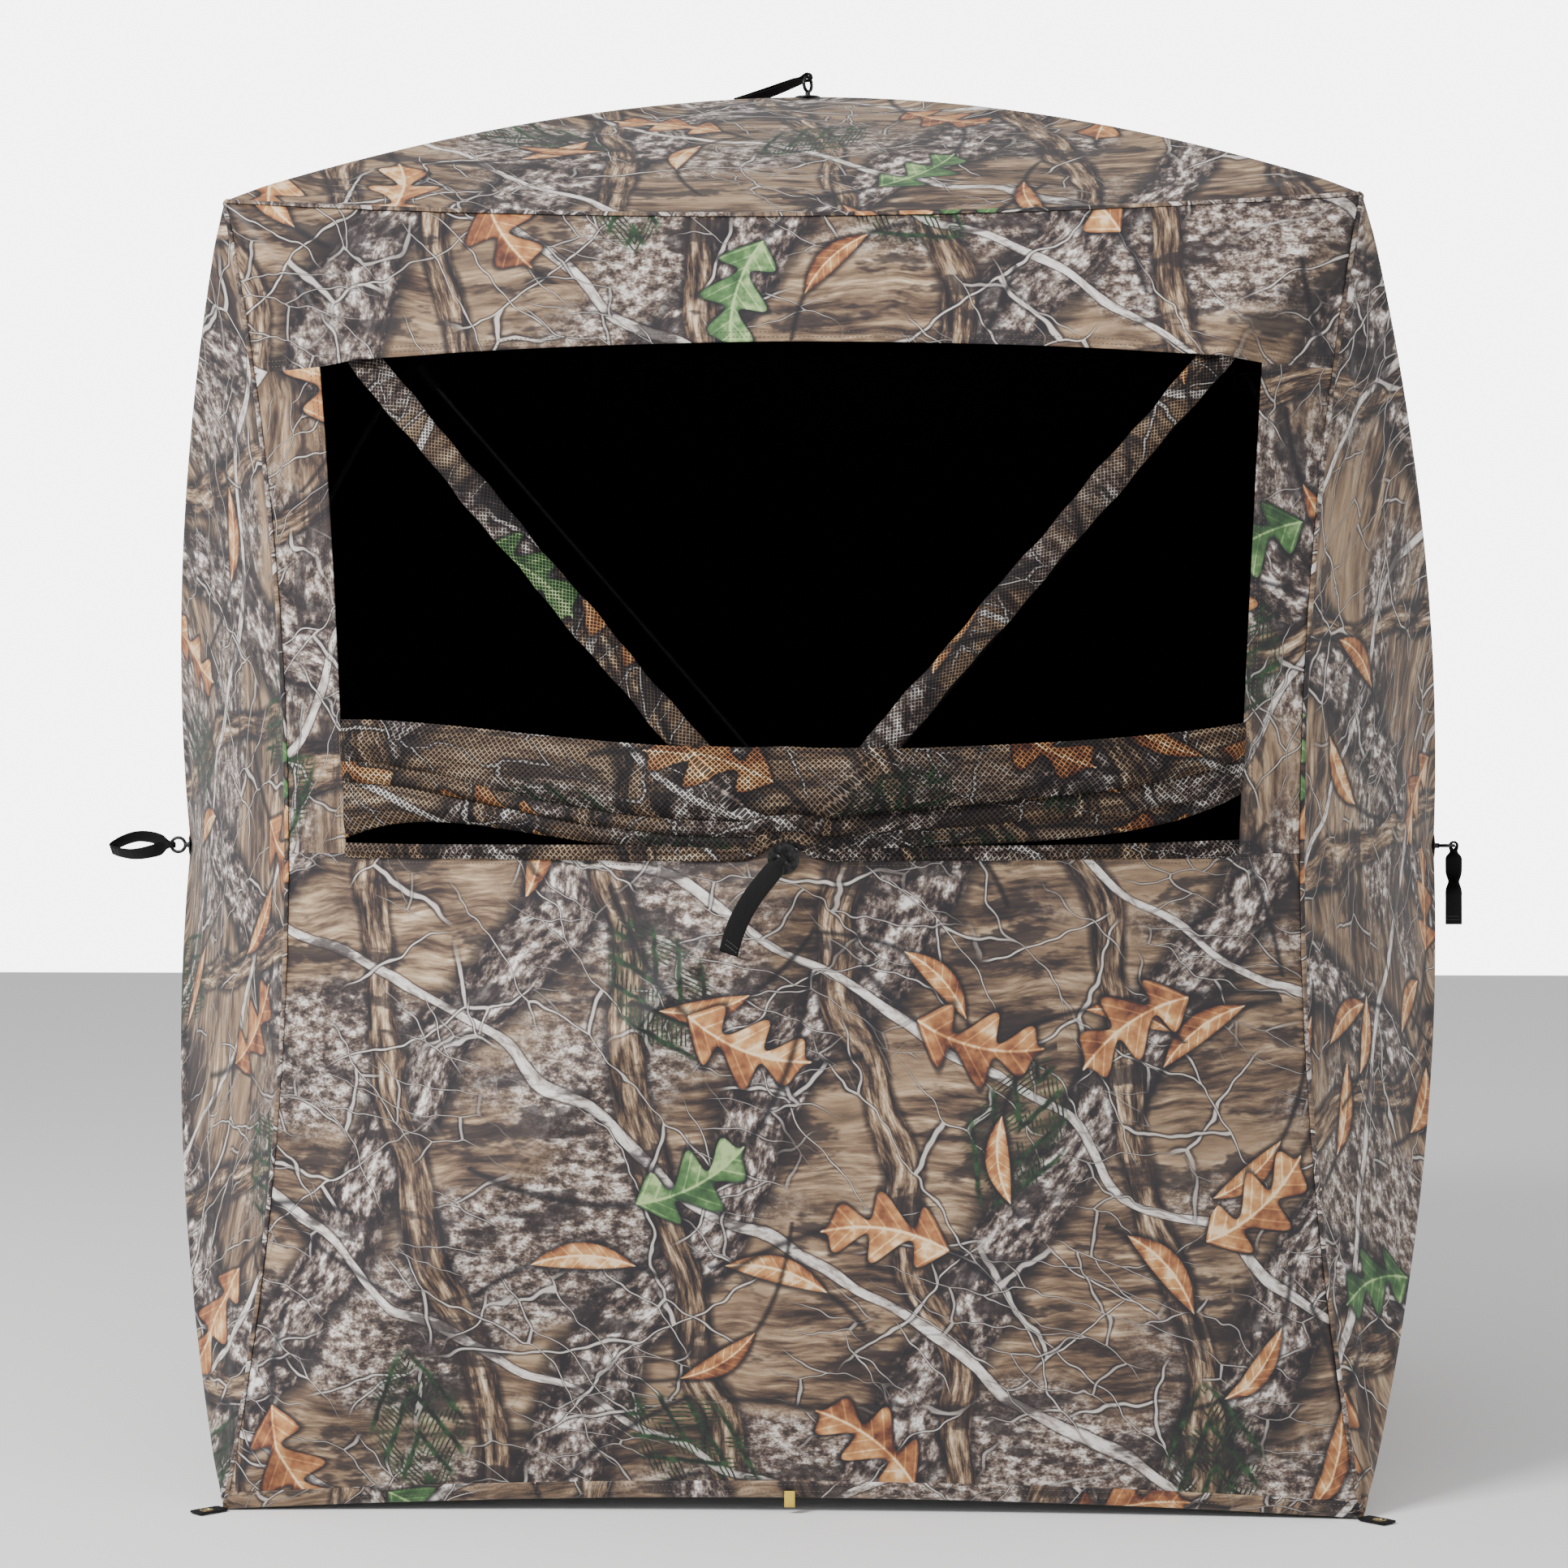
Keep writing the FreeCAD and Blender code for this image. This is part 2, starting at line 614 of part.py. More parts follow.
def make_hub(face):
    placement = face_placement(face).multiply(
        Placement(Vector(0, 0, peak(face) - dim("hub_depth")), Rotation())
    )
    bores, pins = [], []
    for corner in CORNERS:
        bore = add("Part::Cylinder", f"{face}_{corner}_bore", Radius="Dims.pin_radius + Dims.pin_clearance")
        bore.setExpression("Height", "Dims.pin_length + 1")
        bores.append(place(bore, pin_placement(face, corner, dim("pin_length") + 1)))
        pin = add("Part::Cylinder", f"{face}_{corner}_pin", Radius="Dims.pin_radius", Height="Dims.pin_length")
        pins.append(place(pin, pin_placement(face, corner, dim("pin_length"))))
    shank = add("Part::Cylinder", f"{face}_shank_bore", Radius="Dims.shank_radius + 0.2")
    shank.Height = 2 * dim("hub_thickness")
    bores.append(place(shank, Placement(Vector(0, 0, -dim("hub_thickness")), Rotation())))
    hub = cut(f"{face}_hub", make_hub_body(face), group("Part::MultiFuse", f"{face}_hub_bores", bores))
    finish(f"{face}_hub", hub, placement)
    finish(f"{face}_hub_pins", group("Part::Compound", f"{face}_hub_pins", pins), placement)


# direction across the face of each eyebolt's ring, and of the strap that hangs from it
EYE_TURN = {"front": -39, "right": 0, "back": 0, "left": 90, "roof": 60}
ROOF_STRAP_DIP = 15


def eye_frame(face):
    """Middle of the ring's outer wire, which a strap turns about: +X along that wire."""
    height = peak(face) + dim("shank_outside") + 2 * dim("eye_radius")
    return Placement(Vector(0, 0, height), Rotation(OUT, EYE_TURN[face]))


def washer(name, radius, low, thickness):
    disc = add("Part::Cylinder", f"{name}_disc", Radius=radius, Height=thickness)
    place(disc, Placement(Vector(0, 0, low), Rotation()))
    hole = add("Part::Cylinder", f"{name}_hole", Radius="Dims.shank_radius + 0.3")
    hole.Height = 4 * dim("washer_thickness")
    place(hole, Placement(Vector(0, 0, low - dim("washer_thickness")), Rotation()))
    return cut(name, disc, hole)


def make_eyebolt(face):
    """Ring and shank, with a washer over the fabric, a washer under the hub and a nut."""
    top = peak(face)
    shank = add("Part::Cylinder", f"{face}_shank", Radius="Dims.shank_radius",
                Height="Dims.shank_inside + Dims.shank_outside")
    place(shank, Placement(Vector(0, 0, top - dim("shank_inside")), Rotation()))
    ring = add("Part::Torus", f"{face}_ring", Radius1="Dims.eye_radius", Radius2="Dims.wire_radius")
    turn = Rotation(OUT, EYE_TURN[face]).multiply(Rotation(Vector(1, 0, 0), 90))
    place(ring, Placement(Vector(0, 0, top + dim("shank_outside") + dim("eye_radius")), turn))
    bolt = group("Part::MultiFuse", f"{face}_bolt", [shank, ring])

    hub_bottom = top - dim("hub_depth") - dim("hub_thickness") / 2
    over = washer(f"{face}_washer", "Dims.washer_radius", top + 1, "Dims.washer_thickness")
    backing_low = hub_bottom - 0.5 - dim("washer_thickness")
    backing = washer(f"{face}_backing", "Dims.backing_radius", backing_low, "Dims.washer_thickness")
    hexagon = add("Part::Prism", f"{face}_nut_blank", Circumradius="Dims.nut_radius", Height="Dims.nut_height")
    hexagon.Polygon = 6
    nut_low = backing_low - 0.5 - dim("nut_height")
    place(hexagon, Placement(Vector(0, 0, nut_low), Rotation()))
    thread = add("Part::Cylinder", f"{face}_nut_bore", Radius="Dims.shank_radius + 0.1")
    thread.Height = 2 * dim("nut_height")
    place(thread, Placement(Vector(0, 0, nut_low - 2), Rotation()))
    nut = cut(f"{face}_nut", hexagon, thread)
    eyebolt = group("Part::Compound", f"{face}_eyebolt", [bolt, over, backing, nut])
    finish(f"{face}_eyebolt", eyebolt, face_placement(face))


def strap_direction(face):
    """Rest direction of a strap in its eye's frame: down the face, or straight out of the left hub."""
    if face == "left":
        return Vector(0, 0, 1)
    if face == "roof":
        dip = math.radians(ROOF_STRAP_DIP)
        return Vector(0, math.cos(dip), -math.sin(dip))
    return Vector(0, -1, 0)


def make_strap(face):
    """Webbing strap: a sewn loop round the eye's wire, a flare and a flat tongue."""
    length = "Dims.side_strap_length" if face == "left" else "Dims.strap_length"
    half = dim("strap_thickness") / 2
    bunch = Rotation(Vector(0, 1, 0), 90)
    loop = add("Part::Cylinder", f"{face}_loop", Radius="Dims.loop_radius", Height="Dims.strap_neck")
    place(loop, Placement(Vector(-dim("strap_neck") / 2, 0, 0), bunch))
    flare = add("Part::Wedge", f"{face}_flare", Ymax="Dims.strap_flare", Ymin="Dims.loop_bore + 0.8")
    flare.Xmin, flare.Xmax = -dim("strap_neck") / 2, dim("strap_neck") / 2
    flare.X2min, flare.X2max = -dim("strap_width") / 2, dim("strap_width") / 2
    flare.Zmin, flare.Zmax = -half, half
    flare.Z2min, flare.Z2max = -half, half
    tongue = add("Part::Box", f"{face}_tongue", Length="Dims.strap_width", Height="Dims.strap_thickness",
                 Width=f"{length} - Dims.strap_flare")
    place(tongue, Placement(Vector(-dim("strap_width") / 2, dim("strap_flare"), -half), Rotation()))
    bore = add("Part::Cylinder", f"{face}_loop_bore", Radius="Dims.loop_bore")
    bore.Height = 4 * dim("strap_neck")
    place(bore, Placement(Vector(-2 * dim("strap_neck"), 0, 0), bunch))
    blank = group("Part::MultiFuse", f"{face}_strap_blank", [loop, flare, tongue])
    direction = strap_direction(face)
    lie = Rotation(Vector(1, 0, 0), direction, Vector(0, 0, 0), "YXZ")
    local = eye_frame(face).multiply(Placement(Vector(), lie))
    finish(f"{face}_pull_strap", cut(f"{face}_pull_strap", blank, bore), face_placement(face).multiply(local))


# ---------------------------------------------------------------------------------------------
# Corner sockets and ground loops
# ---------------------------------------------------------------------------------------------


def sockets():
    """Every rod's socket: corner of the blind, tip, direction to the hub, depth and floor radius."""
    found = []
    for face in [*WALLS, "roof"]:
        frame = face_placement(face)
        _, _, half_angle = rod_bend(face)
        depth = push_depth(face) + dim("cap_radius") + dim("tip_clearance")
        floor = dim("roof_cup_floor_radius") if face == "roof" else dim("cup_floor_radius")
        for corner in CORNERS:
            _, tip, outward = rod_line(face, corner)
            axis = outward * -math.cos(half_angle) + OUT * math.sin(half_angle)
            point = frame.multVec(tip)
            key = (point.x > 0, point.y > 0, point.z > dim("wall_height") / 2)
            found.append((key, point, frame.Rotation.multVec(axis), depth, floor))
    return found


def cone(name, tip, axis, behind, radii, extra_front):
    """A cone round a rod's rest line, from behind the tip to the socket's mouth."""
    shape = doc.addObject("Part::Cone", name)
    shape.Radius1, shape.Radius2 = radii
    shape.Height = behind + dim("cup_mouth") + extra_front
    return place(shape, pointing(tip - axis * behind, axis))


def make_corner(key, name):
    mouth, wall = dim("cup_mouth_radius"), dim("cup_wall")
    outer, inner = [], []
    for index, (corner, tip, axis, depth, floor) in enumerate(sockets()):
        if corner != key:
            continue
        shell = (floor + wall, mouth + wall)
        outer.append(cone(f"{name}_shell_{index}", tip, axis, depth + dim("cup_floor"), shell, 0))
        inner.append(cone(f"{name}_bore_{index}", tip, axis, depth, (floor, mouth), 0.01))
    if not key[2]:
        outer += ground_foot(key, name)
    blank = group("Part::MultiFuse", f"{name}_blank", outer)
    return cut(name, blank, group("Part::MultiFuse", f"{name}_bores", inner))


def ground_foot(key, name):
    """A flat foot with a short post under a bottom corner's two sockets."""
    sign_x, sign_y = (1 if key[0] else -1), (1 if key[1] else -1)
    outer = dim("blind_width") / 2 - dim("foot_inset")
    centre = outer - dim("foot_side") / 2
    plate = add("Part::Box", f"{name}_foot", Length="Dims.foot_side", Width="Dims.foot_side",
                Height="Dims.foot_thickness")
    corner = Vector(sign_x * centre - dim("foot_side") / 2, sign_y * centre - dim("foot_side") / 2, 0)
    place(plate, Placement(corner, Rotation()))
    post = add("Part::Cylinder", f"{name}_post", Radius="Dims.foot_post_radius",
               Height="Dims.foot_post_height")
    stand = dim("blind_width") / 2 - dim("tip_side_inset") + dim("foot_post_radius")
    place(post, Placement(Vector(sign_x * stand, sign_y * stand, 0), Rotation()))
    return [plate, post]


def make_corner_cups():
    for node, top in (("bottom_corner_cups", False), ("top_corner_cups", True)):
        cups = []
        for right in (False, True):
            for back in (False, True):
                place_name = f"{node}_{'right' if right else 'left'}_{'back' if back else 'front'}"
                cups.append(make_corner((right, back, top), place_name))
        finish(node, group("Part::Compound", node, cups))


def make_stake_loops():
    """A webbing tab with a grommet at each corner of the floor, for a ground stake."""
    tabs = []
    for quarter in range(4):
        name = f"stake_tab_{quarter + 1}"
        tab = add("Part::Box", f"{name}_webbing", Length="Dims.stake_tab_length",
                  Width="Dims.stake_tab_width", Height="Dims.stake_tab_thickness")
        place(tab, Placement(Vector(2, -dim("stake_tab_width") / 2, 0), Rotation()))
        hole = add("Part::Cylinder", f"{name}_hole", Radius="Dims.stake_hole_radius")
        hole.Height = 4 * dim("stake_tab_thickness")
        place(hole, Placement(Vector(dim("stake_hole_reach"), 0, -dim("stake_tab_thickness")), Rotation()))
        loop = cut(name, tab, hole)
        turn = Rotation(OUT, 45 + 90 * quarter)
        corner = turn.multVec(Vector(dim("blind_width") / 2 * math.sqrt(2), 0, 0))
        tabs.append(place(loop, Placement(corner, turn)))
    finish("stake_loops", group("Part::Compound", "stake_loops", tabs))


def make_hem_loop():
    """A small pull loop, sewn to the middle of the front hem."""
    loop = add("Part::Box", "hem_loop_webbing", Length="Dims.hem_loop_width",
               Width="Dims.strap_thickness", Height="Dims.hem_loop_length")
    front = -dim("blind_width") / 2 + dim("hem_draw") - dim("hem_loop_stand_off")
    place_at = Vector(-dim("hem_loop_width") / 2, front, dim("hem_rise") - dim("hem_loop_length") / 2)
    finish("hem_loop", loop, Placement(place_at, Rotation()))


# ---------------------------------------------------------------------------------------------
# The whole blind
# ---------------------------------------------------------------------------------------------

make_front_wall()
make_back_wall()
make_plain_faces()
make_window_net()
make_door()
make_zip_sliders()
make_rods()
make_rod_sleeves()
for hub_face in [*WALLS, "roof"]:
    make_hub(hub_face)
    make_eyebolt(hub_face)
    make_strap(hub_face)
make_corner_cups()
make_stake_loops()
make_hem_loop()
doc.recompute()

for obj in doc.Objects:
    if "Invalid" in obj.State or "Error" in obj.State:
        raise RuntimeError(f"{obj.Name} failed: {obj.State}")
os.makedirs("parts", exist_ok=True)
for node, obj in nodes.items():
    if obj.Shape.isNull() or not obj.Shape.isValid() or not obj.Shape.Solids:
        raise RuntimeError(f"{node} has no valid solid")
    obj.Shape.exportStep(f"parts/{node}.step")
print(f"{len(nodes)} sub-parts written")
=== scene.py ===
import json
import math

import bmesh
import bpy
import numpy as np
from mathutils import Matrix, Vector


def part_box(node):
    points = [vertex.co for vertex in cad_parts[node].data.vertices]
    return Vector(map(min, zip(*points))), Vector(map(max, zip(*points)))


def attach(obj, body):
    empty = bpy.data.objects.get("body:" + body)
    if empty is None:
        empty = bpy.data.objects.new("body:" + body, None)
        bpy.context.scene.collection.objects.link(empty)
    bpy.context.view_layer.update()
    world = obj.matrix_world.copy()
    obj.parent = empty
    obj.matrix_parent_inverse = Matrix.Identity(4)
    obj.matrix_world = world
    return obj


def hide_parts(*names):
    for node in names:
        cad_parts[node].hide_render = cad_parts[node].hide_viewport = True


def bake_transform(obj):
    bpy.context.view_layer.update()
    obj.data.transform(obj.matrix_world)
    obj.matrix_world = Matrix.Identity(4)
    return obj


# A pop-up hub blind in woodland camouflage. Metres, +Z up, the front wall towards -Y.
#
# Every face of the blind has a frame of its own: +X across it, +Y up it, +Z out of the shelter,
# with the origin in the middle of the flat rectangle that joins its four corners.

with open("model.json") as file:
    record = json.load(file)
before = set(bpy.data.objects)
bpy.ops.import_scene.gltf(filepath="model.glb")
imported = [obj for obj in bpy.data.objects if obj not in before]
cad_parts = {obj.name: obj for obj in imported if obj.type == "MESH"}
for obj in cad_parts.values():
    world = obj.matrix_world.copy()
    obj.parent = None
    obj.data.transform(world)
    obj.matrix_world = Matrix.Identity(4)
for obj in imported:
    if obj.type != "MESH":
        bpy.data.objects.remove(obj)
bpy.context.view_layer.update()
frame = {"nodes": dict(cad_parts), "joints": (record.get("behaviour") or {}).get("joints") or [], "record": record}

# === Sizes: the frame gives the main ones, and these give the form of the cloth ===

SEAM_GAP = 0.004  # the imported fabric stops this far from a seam
CLOTH_OVER_HUB = 0.014  # a hub's outer side below the cloth's peak
CLOTH_THICKNESS = 0.0015
CLOTH_BOW = 0.032  # arch of the cloth from hub to edge
CORNER_SEAM = (0.070, 0.070)  # pull of a seam's middle: across the face, and inwards
EAVE_OF_WALL = (0.018, 0.025)
EAVE_OF_ROOF = (0.025, 0.018)
HEM = (0.018, 0.015)
HUB_HOLE = 0.013  # share of the way from hub to edge where the cloth begins
RADIAL_STEPS = 72
EDGE_STEPS = 100

# folds out of a corner and out of the hub: height, fading length and starting length
CORNER_FOLDS = (0.0042, 0.24, 0.06)
HUB_FOLDS = (0.0030, 0.13, 0.05)
# puckers beside a seam: height, length of a pucker and fading length
PUCKERS = (0.0016, 0.045, 0.035)
SLOW_WAVES = ((0.0034, 0.42, 3), (0.0011, 0.13, 5))  # height, length and seed
ROD_CREASE = (0.0035, 0.012)  # height and half width of the ridge over a rod
CREASE_CLEAR = 0.05  # folds fade this near a rod's crease
EDGE_CLEAR = 0.03  # and this near the edge or the hub, as shares of the way between them
HUB_CLEAR = 0.05
SLOPE_STEP = 0.002

# the window is measured from the wall's middle
WINDOW_TOP_HALF = 0.617
WINDOW_SILL_HALF = 0.592
WINDOW_TOP = 0.642
WINDOW_ARCH = 0.030
WINDOW_SILL = 0.002
HUB_TAB = 0.060

TURNS = {"front": 0, "right": 90, "back": 180, "left": 270}

wall_low, wall_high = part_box("front_wall")
HALF_WIDTH = wall_high.x + SEAM_GAP
WALL_HEIGHT = wall_low.z + wall_high.z
BULGE = -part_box("front_hub")[0].y - HALF_WIDTH + CLOTH_OVER_HUB
ROOF_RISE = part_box("roof_hub")[1].z - WALL_HEIGHT + CLOTH_OVER_HUB


class Face:
    """One side of the blind, with the shape of its cloth."""

    def __init__(self, name):
        self.name = name
        self.hub = f"{name}_hub_assembly"
        self.roof = name == "roof"
        self.half_x = HALF_WIDTH
        self.half_y = HALF_WIDTH if self.roof else WALL_HEIGHT / 2
        self.peak = ROOF_RISE if self.roof else BULGE
        if self.roof:
            self.place = Matrix.Translation((0, 0, WALL_HEIGHT))
        else:
            turn = Matrix.Rotation(math.radians(TURNS[name]), 4, "Z")
            upright = Matrix.Translation((0, -HALF_WIDTH, WALL_HEIGHT / 2))
            self.place = turn @ upright @ Matrix.Rotation(math.pi / 2, 4, "X")

    def pulls(self, upright, upper):
        """How far the middle of an edge is pulled in across the face, and back."""
        if self.roof:
            return EAVE_OF_ROOF
        if upright:
            return CORNER_SEAM
        return EAVE_OF_WALL if upper else HEM

    def share(self, x, y):
        """0 at the hub and 1 at the edge, and how far back the edge is there."""
        x, y = np.asarray(x, float), np.asarray(y, float)
        upright = np.abs(x) * self.half_y >= np.abs(y) * self.half_x
        share = np.zeros(np.broadcast(x, y).shape)
        back = np.zeros_like(share)
        for is_upright, upper in ((True, True), (False, True), (False, False)):
            chosen = upright if is_upright else ~upright & ((y > 0) == upper)
            main = np.abs(x if is_upright else y)
            side = np.abs(y if is_upright else x)
            reach, length = self.half_x, self.half_y
            if not is_upright:
                reach, length = length, reach
            pull, drop = self.pulls(is_upright, upper)
            slope = side / np.maximum(main, 1e-9)
            inside = np.maximum(length**2 - 4 * slope**2 * pull * (reach - pull), 0)
            along = 2 * slope * (reach - pull) / (length + np.sqrt(inside))
            edge = reach - pull * (1 - along**2)
            share = np.where(chosen, main / edge, share)
            back = np.where(chosen, drop * (1 - along**2), back)
        return share, back

    def height(self, x, y):
        """The plain tensioned surface, without its wrinkles."""
        share, back = self.share(x, y)
        return (1 - share) * self.peak - share * back + 4 * CLOTH_BOW * share * (1 - share)

    def edge_point(self, side, along):
        """A point of one edge, with along from -1 to 1."""
        upright = side in ("left", "right")
        pull, drop = self.pulls(upright, side == "top")
        near = 1 - along**2
        if upright:
            sign = 1 if side == "right" else -1
            return Vector((sign * (self.half_x - pull * near), along * self.half_y, -drop * near))
        sign = 1 if side == "top" else -1
        return Vector((along * self.half_x, sign * (self.half_y - pull * near), -drop * near))

    def wrinkles(self, x, y):
        """Folds that run out of the corners and the hub, and puckers beside the seams."""
        share, _ = self.share(x, y)
        seed = len(self.name)
        folds = np.zeros_like(share)
        for number, (sx, sy) in enumerate(((1, 1), (-1, 1), (-1, -1), (1, -1))):
            dx, dy = sx * self.half_x - x, sy * self.half_y - y
            distance = np.hypot(dx, dy)
            angle = np.arctan2(sy * dy, sx * dx)
            fan = np.sin(19 * angle + 2.1 * np.sin(5 * angle + number + seed) + 7 * distance)
            folds = folds + fan * fading(distance, *CORNER_FOLDS)
        radius, angle = np.hypot(x, y), np.arctan2(y, x)
        star = np.sin(11 * angle + seed) * np.sin(5 * angle + 1.7)
        folds = folds + star * fading(radius, *HUB_FOLDS)
        inward = (1 - share) * self.half_x
        pucker, length, reach = PUCKERS
        folds = folds + pucker * waves(x, y, length, seed) * np.exp(-inward / reach)
        for height, length, offset in SLOW_WAVES:
            folds = folds + height * waves(x, y, length, seed + offset)
        crease = np.abs(np.abs(x) * self.half_y - np.abs(y) * self.half_x)
        crease = crease / math.hypot(self.half_x, self.half_y)
        height, half_width = ROD_CREASE
        ridge = height * np.exp(-((crease / half_width) ** 2))
        ridge = ridge * np.minimum((1 - share) / (2 * EDGE_CLEAR), 1)
        free = np.minimum(crease / CREASE_CLEAR, 1) * np.minimum((1 - share) / EDGE_CLEAR, 1)
        return folds * free * np.minimum(share / HUB_CLEAR, 1) + ridge

    def surface(self, x, y):
        """The tensioned surface with its wrinkles."""
        return self.height(x, y) + self.wrinkles(x, y)

    def blend_with_hub(self, obj, flat):
        """Bakes the piece's placement into its mesh; it does not follow the hub."""
        start = self.place @ self.edge_point("bottom", 0)
        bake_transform(obj)
        x, y = flat[:, 0], flat[:, 1]
        share, _ = self.share(x, y)
        to_corner = np.hypot(np.abs(x) - self.half_x, np.abs(y) - self.half_y)


def fading(distance, height, reach, start):
    """Height of a fold at a distance from where it starts."""
    return height * np.exp(-distance / reach) * np.minimum(distance / start, 1)


def waves(x, y, length, seed):
    """A smooth random surface between about -1 and 1: a few sine waves in seeded directions."""
    random = np.random.default_rng(seed)
    total = 0
    for _ in range(6):
        angle, phase = random.uniform(0, math.tau, 2)
        number = math.tau / (length * random.uniform(0.7, 1.5))
        total = total + np.sin(number * (x * math.cos(angle) + y * math.sin(angle)) + phase)
    return total / 4


faces = {name: Face(name) for name in (*TURNS, "roof")}

# === Materials ===


class Value:
    """A number in a node tree that can be used in a formula."""

    def __init__(self, shade, socket):
        self.shade = shade
        self.socket = socket

    def math(self, operation, *others):
        node = self.shade.node("ShaderNodeMath", operation=operation)
        for socket, value in zip(node.inputs, (self, *others)):
            self.shade.feed(socket, value)
        return Value(self.shade, node.outputs[0])

    def __add__(self, other):
        return self.math("ADD", other)

    def __sub__(self, other):
        return self.math("SUBTRACT", other)

    def __mul__(self, other):
        return self.math("MULTIPLY", other)

    def __truediv__(self, other):
        return self.math("DIVIDE", other)

    def __abs__(self):
        return self.math("ABSOLUTE")

    def flip(self):
        """One minus the value."""
        return self * -1 + 1

    def rise(self, low, high):
        """0 below low, 1 above high and a smooth step between them."""
        inputs = {"Value": self, "From Min": low, "From Max": high}
        node = self.shade.node("ShaderNodeMapRange", inputs, interpolation_type="SMOOTHSTEP")
        return Value(self.shade, node.outputs["Result"])

    def bounce(self, period):
        """Goes up and down between 0 and half a period."""
        return self.math("PINGPONG", period / 2)


class Shader:
    """Short names for the nodes of one tree."""

    def __init__(self, tree):
        self.tree = tree

    def feed(self, socket, value):
        """Links a value or an output to a socket, or sets a plain number, tuple or colour."""
        if isinstance(value, Value):
            value = value.socket
        if isinstance(value, bpy.types.NodeSocket):
            self.tree.links.new(value, socket)
        elif socket.type == "RGBA":
            socket.default_value = (*value, 1)
        else:
            socket.default_value = value

    def fill(self, node, inputs):
        """Feeds the inputs of a node by their names."""
        for name, value in inputs.items():
            self.feed(node.inputs[name], value)

    def node(self, kind, inputs=None, **settings):
        node = self.tree.nodes.new(kind)
        for name, value in settings.items():
            setattr(node, name, value)
        self.fill(node, inputs or {})
        return node

    def vector(self, x, y, z=0.0):
        return self.node("ShaderNodeCombineXYZ", {"X": x, "Y": y, "Z": z}).outputs[0]

    def split(self, socket, kind="ShaderNodeSeparateXYZ"):
        node = self.node(kind)
        self.feed(node.inputs[0], socket)
        return [Value(self, out) for out in node.outputs]

    def noise(self, x, y, seed, detail=3.0, roughness=0.55):
        place = self.vector(x, y, seed * 7.3)
        inputs = {"Vector": place, "Scale": 1.0, "Detail": detail, "Roughness": roughness}
        return Value(self, self.node("ShaderNodeTexNoise", inputs).outputs[0])

    def cells(self, x, y, feature="F1", randomness=1.0):
        inputs = {"Vector": self.vector(x, y), "Scale": 1.0, "Randomness": randomness}
        return self.node("ShaderNodeTexVoronoi", inputs, voronoi_dimensions="2D", feature=feature)

    def ramp(self, value, stops):
        node = self.node("ShaderNodeValToRGB")
        self.feed(node.inputs[0], value)
        bar = node.color_ramp.elements
        while len(bar) < len(stops):
            bar.new(0.5)
        for element, (position, colour) in zip(bar, stops):
            element.position = position
            element.color = (*colour, 1)
        return node.outputs[0]

    def mix(self, factor, first, second):
        node = self.node("ShaderNodeMix", {"Factor": factor}, data_type="RGBA")
        colours = [socket for socket in node.inputs if socket.type == "RGBA"]
        for socket, colour in zip(colours, (first, second)):
            self.feed(socket, colour)
        return next(socket for socket in node.outputs if socket.type == "RGBA")


BARK_TONES = (
    (0.33, (0.050, 0.040, 0.038)), (0.42, (0.205, 0.155, 0.120)), (0.50, (0.415, 0.325, 0.240)),
    (0.58, (0.665, 0.555, 0.425)), (0.68, (0.925, 0.860, 0.755)),
)
LICHEN_TONES = (
    (0.36, (0.060, 0.048, 0.048)), (0.45, (0.260, 0.210, 0.185)), (0.53, (0.560, 0.500, 0.460)),
    (0.61, (0.950, 0.930, 0.910)),
)
OAK_TONES = (
    (0.15, (0.280, 0.130, 0.070)), (0.52, (0.600, 0.365, 0.180)), (0.80, (0.790, 0.565, 0.310)),
    (1.0, (0.950, 0.820, 0.640)),
)
GREEN_TONES = (
    (0.15, (0.100, 0.200, 0.100)), (0.65, (0.270, 0.430, 0.220)), (1.0, (0.640, 0.740, 0.480)),
)
NEEDLE_TONES = ((0.35, (0.020, 0.060, 0.024)), (0.65, (0.130, 0.270, 0.125)))
PALE_TONES = ((0.25, (0.42, 0.36, 0.32)), (0.5, (0.86, 0.83, 0.80)), (0.7, (0.96, 0.95, 0.93)))
LEAF_SHADOW = (0.018, 0.016, 0.024)
SPRAY_SHADOW = (0.02, 0.03, 0.02)
LIMB_SHADOW = (0.030, 0.026, 0.030)
TWIG_SHADOW = (0.032, 0.028, 0.036)
TWIG = (0.800, 0.765, 0.730)
BARE_GROUND = (0.560, 0.450, 0.330)
GLOOM = (0.110, 0.088, 0.084)


def scattered(shade, u, v, spacing, size, share, seed):
    """Turned local coordinates of a motif that lies in some cells of a loose grid."""
    x, y = u / spacing + seed * 3.71, v / spacing + seed * 1.93
    cell = shade.cells(x, y, randomness=0.85)
    red, green, blue = shade.split(cell.outputs["Color"], "ShaderNodeSeparateColor")
    centre = shade.split(cell.outputs["Position"])
    across, up = (x - centre[0]) * (spacing / size), (y - centre[1]) * (spacing / size)
    angle = red * math.tau
    cosine, sine = angle.math("COSINE"), angle.math("SINE")
    along = across * cosine + up * sine
    aside = up * cosine - across * sine
    present = green.math("LESS_THAN", share)
    return along, aside, present, blue


def oak_half_width(along, aside):
    """Half width of a lobed leaf, whose lobes lean towards its tip."""
    lean = along - abs(aside) * 0.45
    lobes = (lean * 9.2 + 0.9).math("COSINE") * 0.5 + 0.5
    body = (along * along).flip().math("MAXIMUM", 0.0).math("SQRT")
    return body * (lobes * 0.46 + 0.13)


def beech_half_width(along, aside):
    """Half width of a slender leaf with a saw edge."""
    teeth = (along * 22 - abs(aside) * 9).math("FRACT") * 0.07 + 0.95
    return (along * along).flip().math("MAXIMUM", 0.0) * teeth * 0.27


